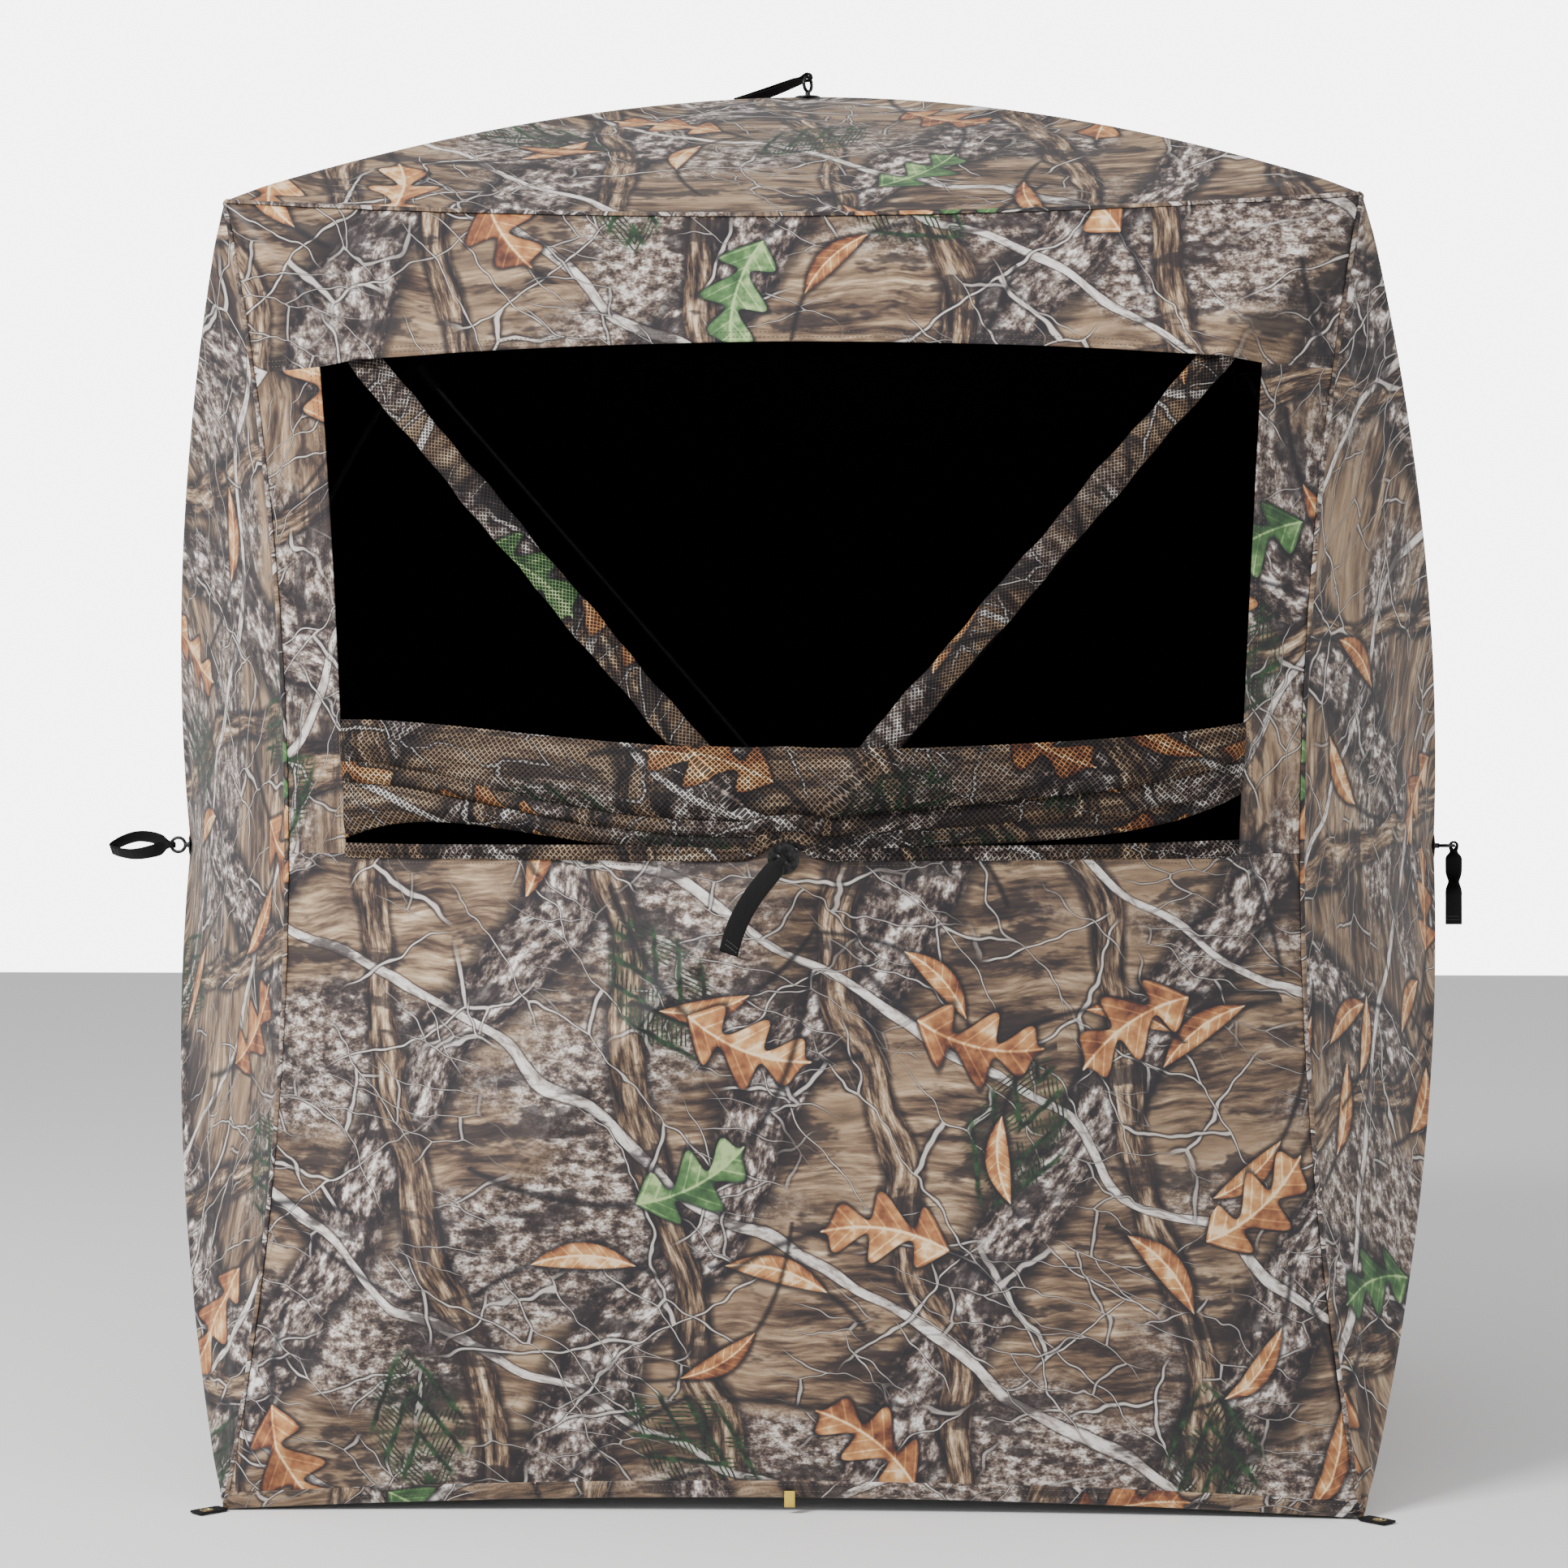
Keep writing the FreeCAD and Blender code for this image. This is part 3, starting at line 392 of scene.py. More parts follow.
def add_leaves(shade, under, u, v, spacing, size, share, seed, outline, tones):
    """Paints leaves with ribs, a lit half and a dark rim of shadow over what lies under them."""
    along, aside, present, chance = scattered(shade, u, v, spacing, size, share, seed)
    aside = aside - (along * along - 0.35) * 0.20
    edge = outline(along, aside) - abs(aside)
    inside = edge.rise(0.0, 0.03) * present
    shadow = edge.rise(-0.13, 0.01) * present
    rib = abs(aside).rise(0.006, 0.035).flip()
    side_ribs = (along - abs(aside) * 0.9).bounce(0.24).rise(0.0, 0.030).flip()
    lit = aside.rise(-0.02, 0.02) * 0.22
    mottle = (shade.noise(u * 38, v * 38, seed + 2, 3.0) - 0.5) * 1.5 + 0.36
    rim = edge.rise(0.0, 0.10).flip() * 0.25
    tone = mottle + lit + chance * 0.30 + side_ribs * 0.22 + rib * 0.40 - rim
    colour = shade.ramp(tone, tones)
    shaded = shade.mix(shadow * 0.72, under, LEAF_SHADOW)
    return shade.mix(inside, shaded, colour)


def add_sprays(shade, under, u, v, seed):
    """Feathery evergreen sprays: fine leaning needles along branching stems."""
    along, aside, present, _ = scattered(shade, u, v, 0.52, 0.115, 0.62, seed)
    wobble = shade.noise(u * 45, v * 45, seed, 2.0) * 0.10
    envelope = ((along * along).flip() * 0.62 - abs(aside)).rise(0.0, 0.16) * present
    stem = (abs(aside) - along * 0.55 + wobble).bounce(0.30).rise(0.012, 0.050).flip()
    needles = (along * 1.2 + abs(aside) * 1.9 + wobble).bounce(0.115).rise(0.010, 0.030).flip()
    broken = shade.noise(u * 38, v * 38, seed + 1, 2.0).rise(0.42, 0.52)
    mask = envelope * stem.math("MAXIMUM", needles * broken)
    colour = shade.ramp(shade.noise(u * 70, v * 70, seed + 4), NEEDLE_TONES)
    return shade.mix(mask, shade.mix(envelope * 0.15, under, SPRAY_SHADOW), colour)


def add_limb(shade, under, u, v, lean, period, width, seed, tones, grain):
    """A trunk or branch that crosses the print again and again, with dark sides and its own bark."""
    cosine, sine = math.cos(lean), math.sin(lean)
    wander = (shade.noise(u * 2.6, v * 2.6, seed, 2.0) - 0.5) * 0.20
    rough = (shade.noise(u * 26, v * 26, seed + 1, 3.0) - 0.5) * width * 0.55
    across = u * sine - v * cosine + wander
    along = u * cosine + v * sine
    offset = abs((across + 40 * period).bounce(period) - period / 4) + rough
    inside = (offset * -1 + width).rise(0.0, width * 0.14)
    round_off = offset.rise(width * 0.30, width * 1.00)
    bark = shade.noise(along * grain[0], across * grain[1], seed + 2, 5.0, 0.7)
    tone = bark - round_off * 0.10
    colour = shade.ramp(tone, tones)
    shadow = (offset * -1 + width * 1.35).rise(0.0, width * 0.4)
    shaded = shade.mix(shadow * 0.62, under, LIMB_SHADOW)
    return shade.mix(inside, shaded, colour)


def add_twigs(shade, under, u, v, scale, stretch, lean, thickness, seed, strength):
    """Thin pale twigs with a shadow under them, along the borders of stretched cells."""
    cosine, sine = math.cos(lean), math.sin(lean)
    bend_u = (shade.noise(u * 6, v * 6, seed, 3.0) - 0.5) * 0.10
    bend_v = (shade.noise(u * 6, v * 6, seed + 1, 3.0) - 0.5) * 0.10
    along = (u + bend_u) * cosine + (v + bend_v) * sine
    across = (v + bend_v) * cosine - (u + bend_u) * sine
    cell = shade.cells(along * scale / stretch, across * scale, feature="DISTANCE_TO_EDGE")
    distance = Value(shade, cell.outputs["Distance"])
    region = shade.noise(u * 4.2, v * 4.2, seed + 3, 1.0).rise(0.47, 0.56)
    line = distance.rise(thickness * 0.45, thickness).flip() * region
    shadow = distance.rise(thickness, thickness * 2.4).flip() * region
    shaded = shade.mix(shadow * 0.6, under, TWIG_SHADOW)
    return shade.mix(line * strength, shaded, TWIG)


PRINT_GAMMA = 2.15
PRINT_SATURATION = 0.96
PRINT_VALUE = 0.95
# lean in radians, period, half width, seed, tones, and the grain along and across
LIMBS = (
    (math.radians(58), 0.74, 0.052, 8, LICHEN_TONES, (38, 60)),
    (math.radians(100), 0.62, 0.024, 12, BARK_TONES, (16, 90)),
    (math.radians(-32), 0.62, 0.0065, 16, PALE_TONES, (40, 120)),
)
# scale, stretch, lean in radians, thickness, seed and strength
TWIGS = (
    (9.0, 2.8, 0.6, 0.015, 20, 0.95),
    (14.0, 3.8, -0.9, 0.014, 24, 0.90),
    (23.0, 3.0, -0.3, 0.018, 27, 0.75),
)
# spacing, half length, share of the grid's cells that hold a leaf, seed, outline and tones
LEAVES = (
    (0.26, 0.070, 0.42, 31, beech_half_width, OAK_TONES),
    (0.23, 0.060, 0.26, 35, beech_half_width, OAK_TONES),
    (0.29, 0.084, 0.46, 39, oak_half_width, OAK_TONES),
    (0.47, 0.080, 0.44, 43, oak_half_width, GREEN_TONES),
)


def woodland_print():
    """Node group: a camouflage of bark, twigs, lichen and fallen leaves, in metres of cloth."""
    tree = bpy.data.node_groups.new("woodland_print", "ShaderNodeTree")
    tree.interface.new_socket("Cloth", in_out="INPUT", socket_type="NodeSocketVector")
    tree.interface.new_socket("Colour", in_out="OUTPUT", socket_type="NodeSocketColor")
    shade = Shader(tree)
    entry = shade.node("NodeGroupInput")
    u, v, _ = shade.split(entry.outputs[0])

    drift = (shade.noise(u * 5, v * 5, 1, 2.0) - 0.5) * 0.07
    grass = shade.noise(u * 8, (v + drift) * 62, 2, 6.0, 0.66)
    fibre = shade.noise(u * 30, (v + drift) * 190, 3, 3.0)
    clumps = shade.noise(u * 5.5, v * 9.5, 4, 3.0)
    ground = shade.ramp(grass * 0.62 + fibre * 0.18 + clumps * 0.22, BARK_TONES)
    bare = clumps.rise(0.47, 0.60) * shade.noise(u * 3, v * 6, 5, 1.0).rise(0.42, 0.58)
    colour = shade.mix(bare * 0.62, ground, BARE_GROUND)
    rubble = shade.noise(u * 55, v * 78, 6, 5.0, 0.78)
    rocky = shade.noise(u * 2.4, v * 4.0, 7, 1.0).rise(0.50, 0.60)
    colour = shade.mix(rocky * 0.85, colour, shade.ramp(rubble, LICHEN_TONES))
    for limb in LIMBS:
        colour = add_limb(shade, colour, u, v, *limb)
    gloom = shade.noise(u * 7, v * 17, 50, 4.0, 0.65).rise(0.40, 0.47).flip()
    colour = shade.mix(gloom * 0.70, colour, GLOOM)
    for twigs in TWIGS:
        colour = add_twigs(shade, colour, u, v, *twigs)
    colour = add_sprays(shade, colour, u, v, 28)
    for leaves in LEAVES:
        colour = add_leaves(shade, colour, u, v, *leaves)
    deepen = shade.node("ShaderNodeGamma", {"Color": colour, "Gamma": PRINT_GAMMA})
    inputs = {"Color": deepen.outputs[0], "Saturation": PRINT_SATURATION, "Value": PRINT_VALUE}
    enrich = shade.node("ShaderNodeHueSaturation", inputs)
    shade.feed(shade.node("NodeGroupOutput").inputs[0], enrich.outputs[0])
    return tree


PRINT = woodland_print()


def new_material(name):
    """A new material, with a helper for its tree and its Principled node."""
    material = bpy.data.materials.new(name)
    material.use_nodes = True
    return material, Shader(material.node_tree), material.node_tree.nodes["Principled BSDF"]


def cloth_coordinates(shade):
    node = shade.node("ShaderNodeUVMap", uv_map="cloth")
    u, v, _ = shade.split(node.outputs[0])
    return node.outputs[0], u, v


def add_bump(shade, surface, height, strength, distance):
    bump = shade.node("ShaderNodeBump", {"Strength": strength, "Distance": distance, "Height": height})
    shade.feed(surface.inputs["Normal"], bump.outputs[0])


def printed_colour(shade, coordinates):
    group = shade.node("ShaderNodeGroup", node_tree=PRINT)
    shade.feed(group.inputs[0], coordinates)
    return group.outputs[0]


CLOTH_THREAD_PITCH = 0.0011


def camo_cloth():
    """Coated polyester: a plain weave with a hazy sheen, partly a painted pale haze, printed with the woodland
    pattern.
    """
    material, shade, surface = new_material("camo_cloth")
    coordinates, u, v = cloth_coordinates(shade)
    turns = math.tau / CLOTH_THREAD_PITCH
    weave = (u * turns).math("SINE") * (v * turns).math("SINE")
    threads = shade.noise(u * 420, v * 420, 3, 2.0)
    # painted haze of sheen: a faint pale violet wash over the whole print
    colour = shade.mix(0.025, printed_colour(shade, coordinates), (0.60, 0.56, 0.66))
    colour = shade.mix(threads * 0.10, colour, (0.05, 0.045, 0.05))
    crumple = shade.noise(u * 16, v * 16, 9, 3.0)
    shade.fill(surface, {"Base Color": colour, "Roughness": threads * 0.14 + 0.46,
                         "Specular IOR Level": 0.22, "Sheen Weight": 0.05, "Sheen Roughness": 0.45})
    add_bump(shade, surface, weave * 0.04 + threads * 0.05 + crumple * 2.2, 0.35, 0.0012)
    return material


def black_lining():
    """Blackout coating on the inside: rubbery, with a faint trace of the weave."""
    material, shade, surface = new_material("black_lining")
    _, u, v = cloth_coordinates(shade)
    grain = shade.noise(u * 300, v * 300, 1, 2.0)
    colour = shade.ramp(grain, ((0.3, (0.0025,) * 3), (0.7, (0.0055,) * 3)))
    shade.fill(surface, {"Base Color": colour, "Roughness": 0.85, "Specular IOR Level": 0.12})
    add_bump(shade, surface, grain, 0.2, 0.0004)
    return material


def printed_net(name, pitch):
    """Open net printed with the same pattern: bright threads round holes painted near black."""
    material, shade, surface = new_material(name)
    coordinates, u, v = cloth_coordinates(shade)
    away = 50 * pitch  # keeps the bounced value positive
    hole = (u + v * 0.8 + away).bounce(pitch).rise(pitch * 0.07, pitch * 0.15)
    hole = hole * (u - v * 0.8 + away).bounce(pitch).rise(pitch * 0.07, pitch * 0.15)
    colour = shade.mix(0.14, printed_colour(shade, coordinates), (0.110, 0.090, 0.095))
    # painted shade: the holes get a near-black colour for the black-lined, shaded inside seen through them
    colour = shade.mix(hole * 0.93, colour, (0.003, 0.003, 0.0035))
    shade.fill(surface, {"Base Color": colour, "Roughness": 0.70, "Specular IOR Level": 0.15})
    add_bump(shade, surface, hole.flip(), 0.6, 0.0008)
    return material


TWILL_PERIOD = 0.0022


def webbing(name, dark, light):
    """Woven tape: slanting twill ribs and uneven yarn."""
    material, shade, surface = new_material(name)
    _, u, v = cloth_coordinates(shade)
    ribs = (abs(u) * 1.2 + v).bounce(TWILL_PERIOD) * (2 / TWILL_PERIOD)
    yarn = shade.noise(u * 900, v * 260, 2, 2.0)
    colour = shade.ramp(ribs * 0.5 + yarn * 0.5, ((0.25, dark), (0.85, light)))
    shade.fill(surface, {"Base Color": colour, "Roughness": yarn * 0.25 + 0.55,
                         "Specular IOR Level": 0.18})
    add_bump(shade, surface, ribs + yarn * 0.5, 0.6, 0.0005)
    return material


def mottled(name, dark, light, roughness, metallic, scale, bump, stretch=(1, 1, 1)):
    """Moulded, drawn or plated finish with mottling in the piece's own space."""
    material, shade, surface = new_material(name)
    place = shade.node("ShaderNodeTexCoord").outputs["Object"]
    spread = shade.node("ShaderNodeMapping", {"Vector": place, "Scale": stretch})
    inputs = {"Vector": spread.outputs[0], "Scale": scale, "Detail": 4}
    value = Value(shade, shade.node("ShaderNodeTexNoise", inputs).outputs[0])
    colour = shade.ramp(value, ((0.3, dark), (0.7, light)))
    shade.fill(surface, {"Base Color": colour, "Roughness": value * 0.2 + (roughness - 0.1),
                         "Metallic": metallic})
    add_bump(shade, surface, value, bump, 0.0004)
    return material


CAMO = camo_cloth()
LINING = black_lining()
NET = printed_net("printed_net", 0.0072)
SLEEVE_NET = printed_net("sleeve_net", 0.0055)
BLACK_WEBBING = webbing("black_webbing", (0.0015, 0.0015, 0.0016), (0.009, 0.009, 0.010))
YELLOW_WEBBING = webbing("yellow_webbing", (0.40, 0.27, 0.03), (0.85, 0.63, 0.12))
# name, dark and light tone, roughness, metallic, scale of the mottling and bump
THREAD = mottled("sewing_thread", (0.07, 0.055, 0.04), (0.17, 0.14, 0.11), 0.7, 0.0, 900, 0.5)
PALE_THREAD = mottled("pale_thread", (0.10, 0.10, 0.10), (0.2, 0.2, 0.2), 0.7, 0.0, 900, 0.5)
MOULDING = mottled("black_moulding", (0.010,) * 3, (0.022,) * 3, 0.48, 0.0, 420, 0.35)
STEEL = mottled("blackened_steel", (0.012,) * 3, (0.055,) * 3, 0.36, 0.85, 260, 0.25)
PIN_STEEL = mottled("pin_steel", (0.32,) * 3, (0.52,) * 3, 0.32, 1.0, 300, 0.2)
ROD_GLASS = mottled("glass_rod", (0.030, 0.031, 0.034), (0.075, 0.076, 0.080), 0.42, 0.0, 60, 0.4,
                    (1, 1, 30))
ZIP_METAL = mottled("zip_slider", (0.02,) * 3, (0.07,) * 3, 0.4, 0.8, 300, 0.3)
GROMMET = mottled("grommet_brass", (0.30, 0.22, 0.10), (0.50, 0.40, 0.22), 0.35, 1.0, 300, 0.2)

# === Cloth: flat grids are cut to shape, printed, raised to the surface and given a thickness ===


def flat_face(face):
    """A flat grid of a face, in four triangles from the hub's hole to the edges."""
    mesh = bmesh.new()
    for side in ("right", "top", "left", "bottom"):
        rows = []
        for i in range(RADIAL_STEPS + 1):
            share = HUB_HOLE + (1 - HUB_HOLE) * i / RADIAL_STEPS
            edge = [face.edge_point(side, 2 * j / EDGE_STEPS - 1) for j in range(EDGE_STEPS + 1)]
            rows.append([mesh.verts.new((point.x * share, point.y * share, 0)) for point in edge])
        for inner, outer in zip(rows, rows[1:]):
            for j in range(EDGE_STEPS):
                mesh.faces.new((inner[j], outer[j], outer[j + 1], inner[j + 1]))
    bmesh.ops.remove_doubles(mesh, verts=mesh.verts, dist=1e-5)
    mesh.normal_update()
    for polygon in mesh.faces:
        if polygon.normal.z < 0:
            polygon.normal_flip()
    return mesh


def split_along(mesh, side):
    """Cuts every polygon that a curve crosses. The curve is where side(x, y) is zero."""
    value = {vert: side(vert.co.x, vert.co.y) for vert in mesh.verts}
    on_curve = {vert for vert in mesh.verts if abs(value[vert]) < 1e-6}
    for edge in list(mesh.edges):
        first, second = edge.verts
        low, high = sorted((value[first], value[second]))
        if low < -1e-6 and high > 1e-6:
            part = value[first] / (value[first] - value[second])
            _, vert = bmesh.utils.edge_split(edge, first, part)
            on_curve.add(vert)
    for polygon in list(mesh.faces):
        crossing = [vert for vert in polygon.verts if vert in on_curve]
        if len(crossing) == 2 and mesh.edges.get(crossing) is None:
            bmesh.utils.face_split(polygon, crossing[0], crossing[1])


def keep_where(mesh, wanted):
    """Removes the polygons whose middle isn't wanted."""
    unwanted = []
    for polygon in mesh.faces:
        middle = polygon.calc_center_median()
        if not wanted(middle.x, middle.y):
            unwanted.append(polygon)
    bmesh.ops.delete(mesh, geom=unwanted, context="FACES")


def make_faceted(obj):
    for polygon in obj.data.polygons:
        polygon.use_smooth = False


def put_on_body(obj, body, slot, *nodes):
    """Files a finished piece on the body it rides on, and hides the nodes it replaces. slot is not used."""
    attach(obj, body)
    if nodes:
        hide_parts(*nodes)


def put_on_face(obj, flat, face, slot, *nodes):
    """For a piece of a face: bakes its placement and hides the nodes it replaces. slot is not used."""
    face.blend_with_hub(obj, flat)
    if nodes:
        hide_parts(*nodes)


def link_mesh(name, mesh, *materials):
    obj = bpy.data.objects.new(name, mesh)
    bpy.context.scene.collection.objects.link(obj)
    for material in materials:
        mesh.materials.append(material)
    mesh.polygons.foreach_set("use_smooth", [True] * len(mesh.polygons))
    return obj


def upright_print(x, y):
    return y, -x


def level_print(x, y):
    return x, y


def give_thickness(obj, thickness, offset):
    """Thickens a sheet: outwards with an offset of 1, inwards with -1."""
    solid = obj.modifiers.new("thickness", "SOLIDIFY")
    solid.thickness = thickness
    solid.offset = offset
    return solid


def cloth_piece(name, face, mesh, panel):
    """Turns a flat grid into printed, black-lined cloth, and returns it with its flat points."""
    flat = np.array([(vert.co.x, vert.co.y) for vert in mesh.verts])
    uv = mesh.loops.layers.uv.new("cloth")
    for polygon in mesh.faces:
        middle = polygon.calc_center_median()
        layout, offset = panel(middle.x, middle.y)
        for loop in polygon.loops:
            u, v = layout(loop.vert.co.x, loop.vert.co.y)
            loop[uv].uv = (u + offset[0], v + offset[1])
    for vert, height in zip(mesh.verts, face.surface(flat[:, 0], flat[:, 1])):
        vert.co = face.place @ Vector((vert.co.x, vert.co.y, height))
    data = bpy.data.meshes.new(name)
    mesh.to_mesh(data)
    mesh.free()
    obj = link_mesh(name, data, CAMO, LINING)
    give_thickness(obj, CLOTH_THICKNESS, -1).material_offset = 1
    return obj, flat


def window_top(x):
    return WINDOW_TOP + WINDOW_ARCH * max(0.0, 1 - (x / WINDOW_TOP_HALF) ** 2)


def window_half(y):
    rise = (y - WINDOW_SILL) / (WINDOW_TOP - WINDOW_SILL)
    return WINDOW_SILL_HALF + (WINDOW_TOP_HALF - WINDOW_SILL_HALF) * rise


# where each panel of the front wall was cut from the printed cloth
VALANCE_PRINT = (0.10, 0.27)
LOWER_PRINT = (0.37, 1.92)
RIGHT_COLUMN_PRINT = (2.3, 1.1)
LEFT_COLUMN_PRINT = (1.2, 3.45)


def make_front_cover():
    """Front wall: valance and lower panel printed level, the columns beside the window upright."""
    face = faces["front"]
    mesh = flat_face(face)
    split_along(mesh, lambda x, y: window_top(x) - y)
    split_along(mesh, lambda x, y: y - WINDOW_SILL)
    split_along(mesh, lambda x, y: window_half(y) - x)
    split_along(mesh, lambda x, y: x + window_half(y))
    split_along(mesh, lambda x, y: math.hypot(x, y) - HUB_TAB)

    def cloth(x, y):
        in_window = WINDOW_SILL < y < window_top(x) and abs(x) < window_half(y)
        return not in_window or math.hypot(x, y) < HUB_TAB

    def panel(x, y):
        if y > window_top(x):
            return level_print, VALANCE_PRINT
        if y < WINDOW_SILL or abs(x) < window_half(y):
            return level_print, LOWER_PRINT
        return upright_print, RIGHT_COLUMN_PRINT if x > 0 else LEFT_COLUMN_PRINT

    keep_where(mesh, cloth)
    cover, flat = cloth_piece("front_cover", face, mesh, panel)
    put_on_face(cover, flat, face, "camo_fabric", "front_wall")


def make_plain_cover(name, node, layout, offset):
    face = faces[name]
    cover, flat = cloth_piece(f"{name}_cover", face, flat_face(face), lambda x, y: (layout, offset))
    put_on_face(cover, flat, face, "camo_fabric", node)


# === Rear door ===

DOOR_GAP = 0.003
door_low, door_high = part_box("door_panel")
DOOR_HINGE_X = -door_low.x + DOOR_GAP
DOOR_APEX_X = -door_high.x - DOOR_GAP
DOOR_SLOPE = faces["back"].half_y / faces["back"].half_x
DOOR_DROP = 0.095  # the opening's slanted edges run this far below the rods
BACK_PRINT = (1.31, 0.77)
DOOR_PRINT = (1.33, 0.79)
ZIP_HALF = 0.010
ZIP_DEPTH = 0.0032  # behind the cloth
ZIP_END = 0.030  # the zip stops this far before the hinge


def door_rise(x, inset):
    """Half height of the door's outline at x, inset from the opening's edge."""
    return DOOR_SLOPE * x - DOOR_DROP - inset * math.hypot(1, DOOR_SLOPE)


def cut_door(mesh, inset):
    split_along(mesh, lambda x, y: x - DOOR_APEX_X - inset)
    split_along(mesh, lambda x, y: DOOR_HINGE_X - DOOR_GAP - x)
    split_along(mesh, lambda x, y: door_rise(x, inset) - y)
    split_along(mesh, lambda x, y: door_rise(x, inset) + y)


def inside_door(x, y, inset):
    return DOOR_APEX_X + inset < x < DOOR_HINGE_X - DOOR_GAP and abs(y) < door_rise(x, inset)


def make_back_cover_and_door():
    face = faces["back"]
    mesh = flat_face(face)
    cut_door(mesh, 0.0)
    keep_where(mesh, lambda x, y: not inside_door(x, y, 0.0))
    cover, flat = cloth_piece("back_cover", face, mesh, lambda x, y: (level_print, BACK_PRINT))
    put_on_face(cover, flat, face, "camo_fabric", "back_wall")

    mesh = flat_face(face)
    cut_door(mesh, DOOR_GAP)
    keep_where(mesh, lambda x, y: inside_door(x, y, DOOR_GAP))
    door, _ = cloth_piece("door_flap", face, mesh, lambda x, y: (level_print, DOOR_PRINT))
    put_on_body(door, "door_panel", "camo_fabric", "door_panel")


def door_corners():
    """The zipped edges: along the lower edge, round the cut-off point and along the upper edge."""
    hinge = DOOR_HINGE_X - ZIP_END
    low, high = door_rise(DOOR_APEX_X, 0.0), door_rise(hinge, 0.0)
    return [(hinge, -high), (DOOR_APEX_X, -low), (DOOR_APEX_X, low), (hinge, high)]


# === Ribbons, tubes and stitches ===


def distances(path):
    """Distance along a polyline of each of its points."""
    return np.concatenate([[0], np.cumsum(np.linalg.norm(np.diff(path, axis=0), axis=1))])


def interpolated(reach, distances_along, rows):
    """The row of values at a distance along a path."""
    return np.array([np.interp(reach, distances_along, column) for column in np.asarray(rows).T])


def angles(count):
    """Directions that divide a full turn."""
    return [math.tau * k / count for k in range(count)]


def mesh_from_rings(rings, closed_along=False):
    """Joins rings of points, each a closed outline, into a skin: its points, polygons and UVs."""
    count = len(rings[0])
    points = np.concatenate([np.asarray(ring, float) for ring in rings])
    polygons, uvs = [], []
    along = np.zeros(len(rings) + 1)
    for i in range(1, len(rings) + 1):
        if i < len(rings) or closed_along:
            step = np.asarray(rings[i % len(rings)], float) - np.asarray(rings[i - 1], float)
            along[i] = along[i - 1] + np.linalg.norm(step, axis=1).mean()
    first = np.asarray(rings[len(rings) // 2], float)
    around = distances(np.concatenate([first, first[:1]]))
    last = len(rings) if closed_along else len(rings) - 1
    for i in range(last):
        a, b = i * count, ((i + 1) % len(rings)) * count
        for j in range(count):
            k = (j + 1) % count
            polygons.append((a + j, a + k, b + k, b + j))
            uvs.append(((around[j], along[i]), (around[j + 1], along[i]),
                        (around[j + 1], along[i + 1]), (around[j], along[i + 1])))
    if not closed_along:
        end = (len(rings) - 1) * count
        polygons.append(tuple(reversed(range(count))))
        polygons.append(tuple(end + j for j in range(count)))
        uvs += [((0.0, 0.0),) * count] * 2
    return points, polygons, uvs


class Collector:
    """Gathers separate skins into one mesh."""

    def __init__(self):
        self.points, self.polygons, self.uvs, self.flat = [], [], [], []
        self.count = 0

    def add(self, points, polygons, uvs=None, flat=None):
        self.polygons += [tuple(self.count + k for k in polygon) for polygon in polygons]
        self.uvs += uvs if uvs is not None else [((0.0, 0.0),) * len(polygon) for polygon in polygons]
        self.points.append(np.asarray(points, float))
        self.flat.append(np.zeros((len(points), 2)) if flat is None else np.asarray(flat, float))
        self.count += len(points)

    def build(self, name, *materials):
        data = bpy.data.meshes.new(name)
        data.from_pydata(np.concatenate(self.points).tolist(), [], self.polygons)
        layer = data.uv_layers.new(name="cloth")
        coordinates = [value for polygon in self.uvs for corner in polygon for value in corner]
        layer.data.foreach_set("uv", coordinates)
        data.validate()
        obj = link_mesh(name, data, *materials)
        repair = bmesh.new()
        repair.from_mesh(data)
        bmesh.ops.recalc_face_normals(repair, faces=repair.faces)
        repair.to_mesh(data)
        repair.free()
        return obj, np.concatenate(self.flat)


def rounded_section(half_width, half_thickness, steps=3):
    """Outline of a flat tape with rounded sides, as (across, through) points."""
    points = []
    for sign in (1, -1):
        for k in range(steps + 1):
            angle = -math.pi / 2 + math.pi * k / steps
            across = half_width - half_thickness + half_thickness * math.cos(angle)
            points.append((sign * across, sign * half_thickness * math.sin(angle)))
        points += [(sign * half_width * (0.5 - 0.5 * k), sign * half_thickness) for k in (0, 1)]
    return points


def ribbon(centres, across, widths, thickness, closed=False):
    """A tape along a path. across is the direction of its width at each point."""
    centres = np.asarray(centres, float)
    ahead = np.roll(centres, -1, axis=0) - np.roll(centres, 1, axis=0)
    if not closed:
        ahead[0] = centres[1] - centres[0]
        ahead[-1] = centres[-1] - centres[-2]
    ahead /= np.linalg.norm(ahead, axis=1)[:, None]
    rings = []
    for centre, forward, side, width, thick in zip(centres, ahead, across, widths, thickness):
        side = side - forward * (side @ forward)
        side /= np.linalg.norm(side)
        through = np.cross(forward, side)
        section = rounded_section(width / 2, thick / 2)
        rings.append([centre + side * a + through * b for a, b in section])
    return mesh_from_rings(rings, closed_along=closed)


def stitch_run(bag, points, normals, flat, length=0.0032, gap=0.0026, half=0.00042):
    """Lockstitches along a polyline: a small pillow of thread for each stitch."""
    reach = distances(points)
    for number in range(int(reach[-1] / (length + gap))):
        start = number * (length + gap)
        ends = [interpolated(r, reach, points) for r in (start, start + length)]
        normal = interpolated(start, reach, normals)
        place_flat = interpolated(start, reach, flat)
        forward = ends[1] - ends[0]
        side = np.cross(forward, normal)
        side = side / np.linalg.norm(side) * half
        up = normal / np.linalg.norm(normal) * half
        rings = []
        for k, swell in ((0.0, 0.5), (0.5, 1.3), (1.0, 0.5)):
            middle = ends[0] + forward * k + up * swell
            rings.append([middle + side * swell, middle + up * swell, middle - side * swell,
                          middle - up * 1.4])
        skin = mesh_from_rings(rings)
        bag.add(*skin, flat=[place_flat] * 12)


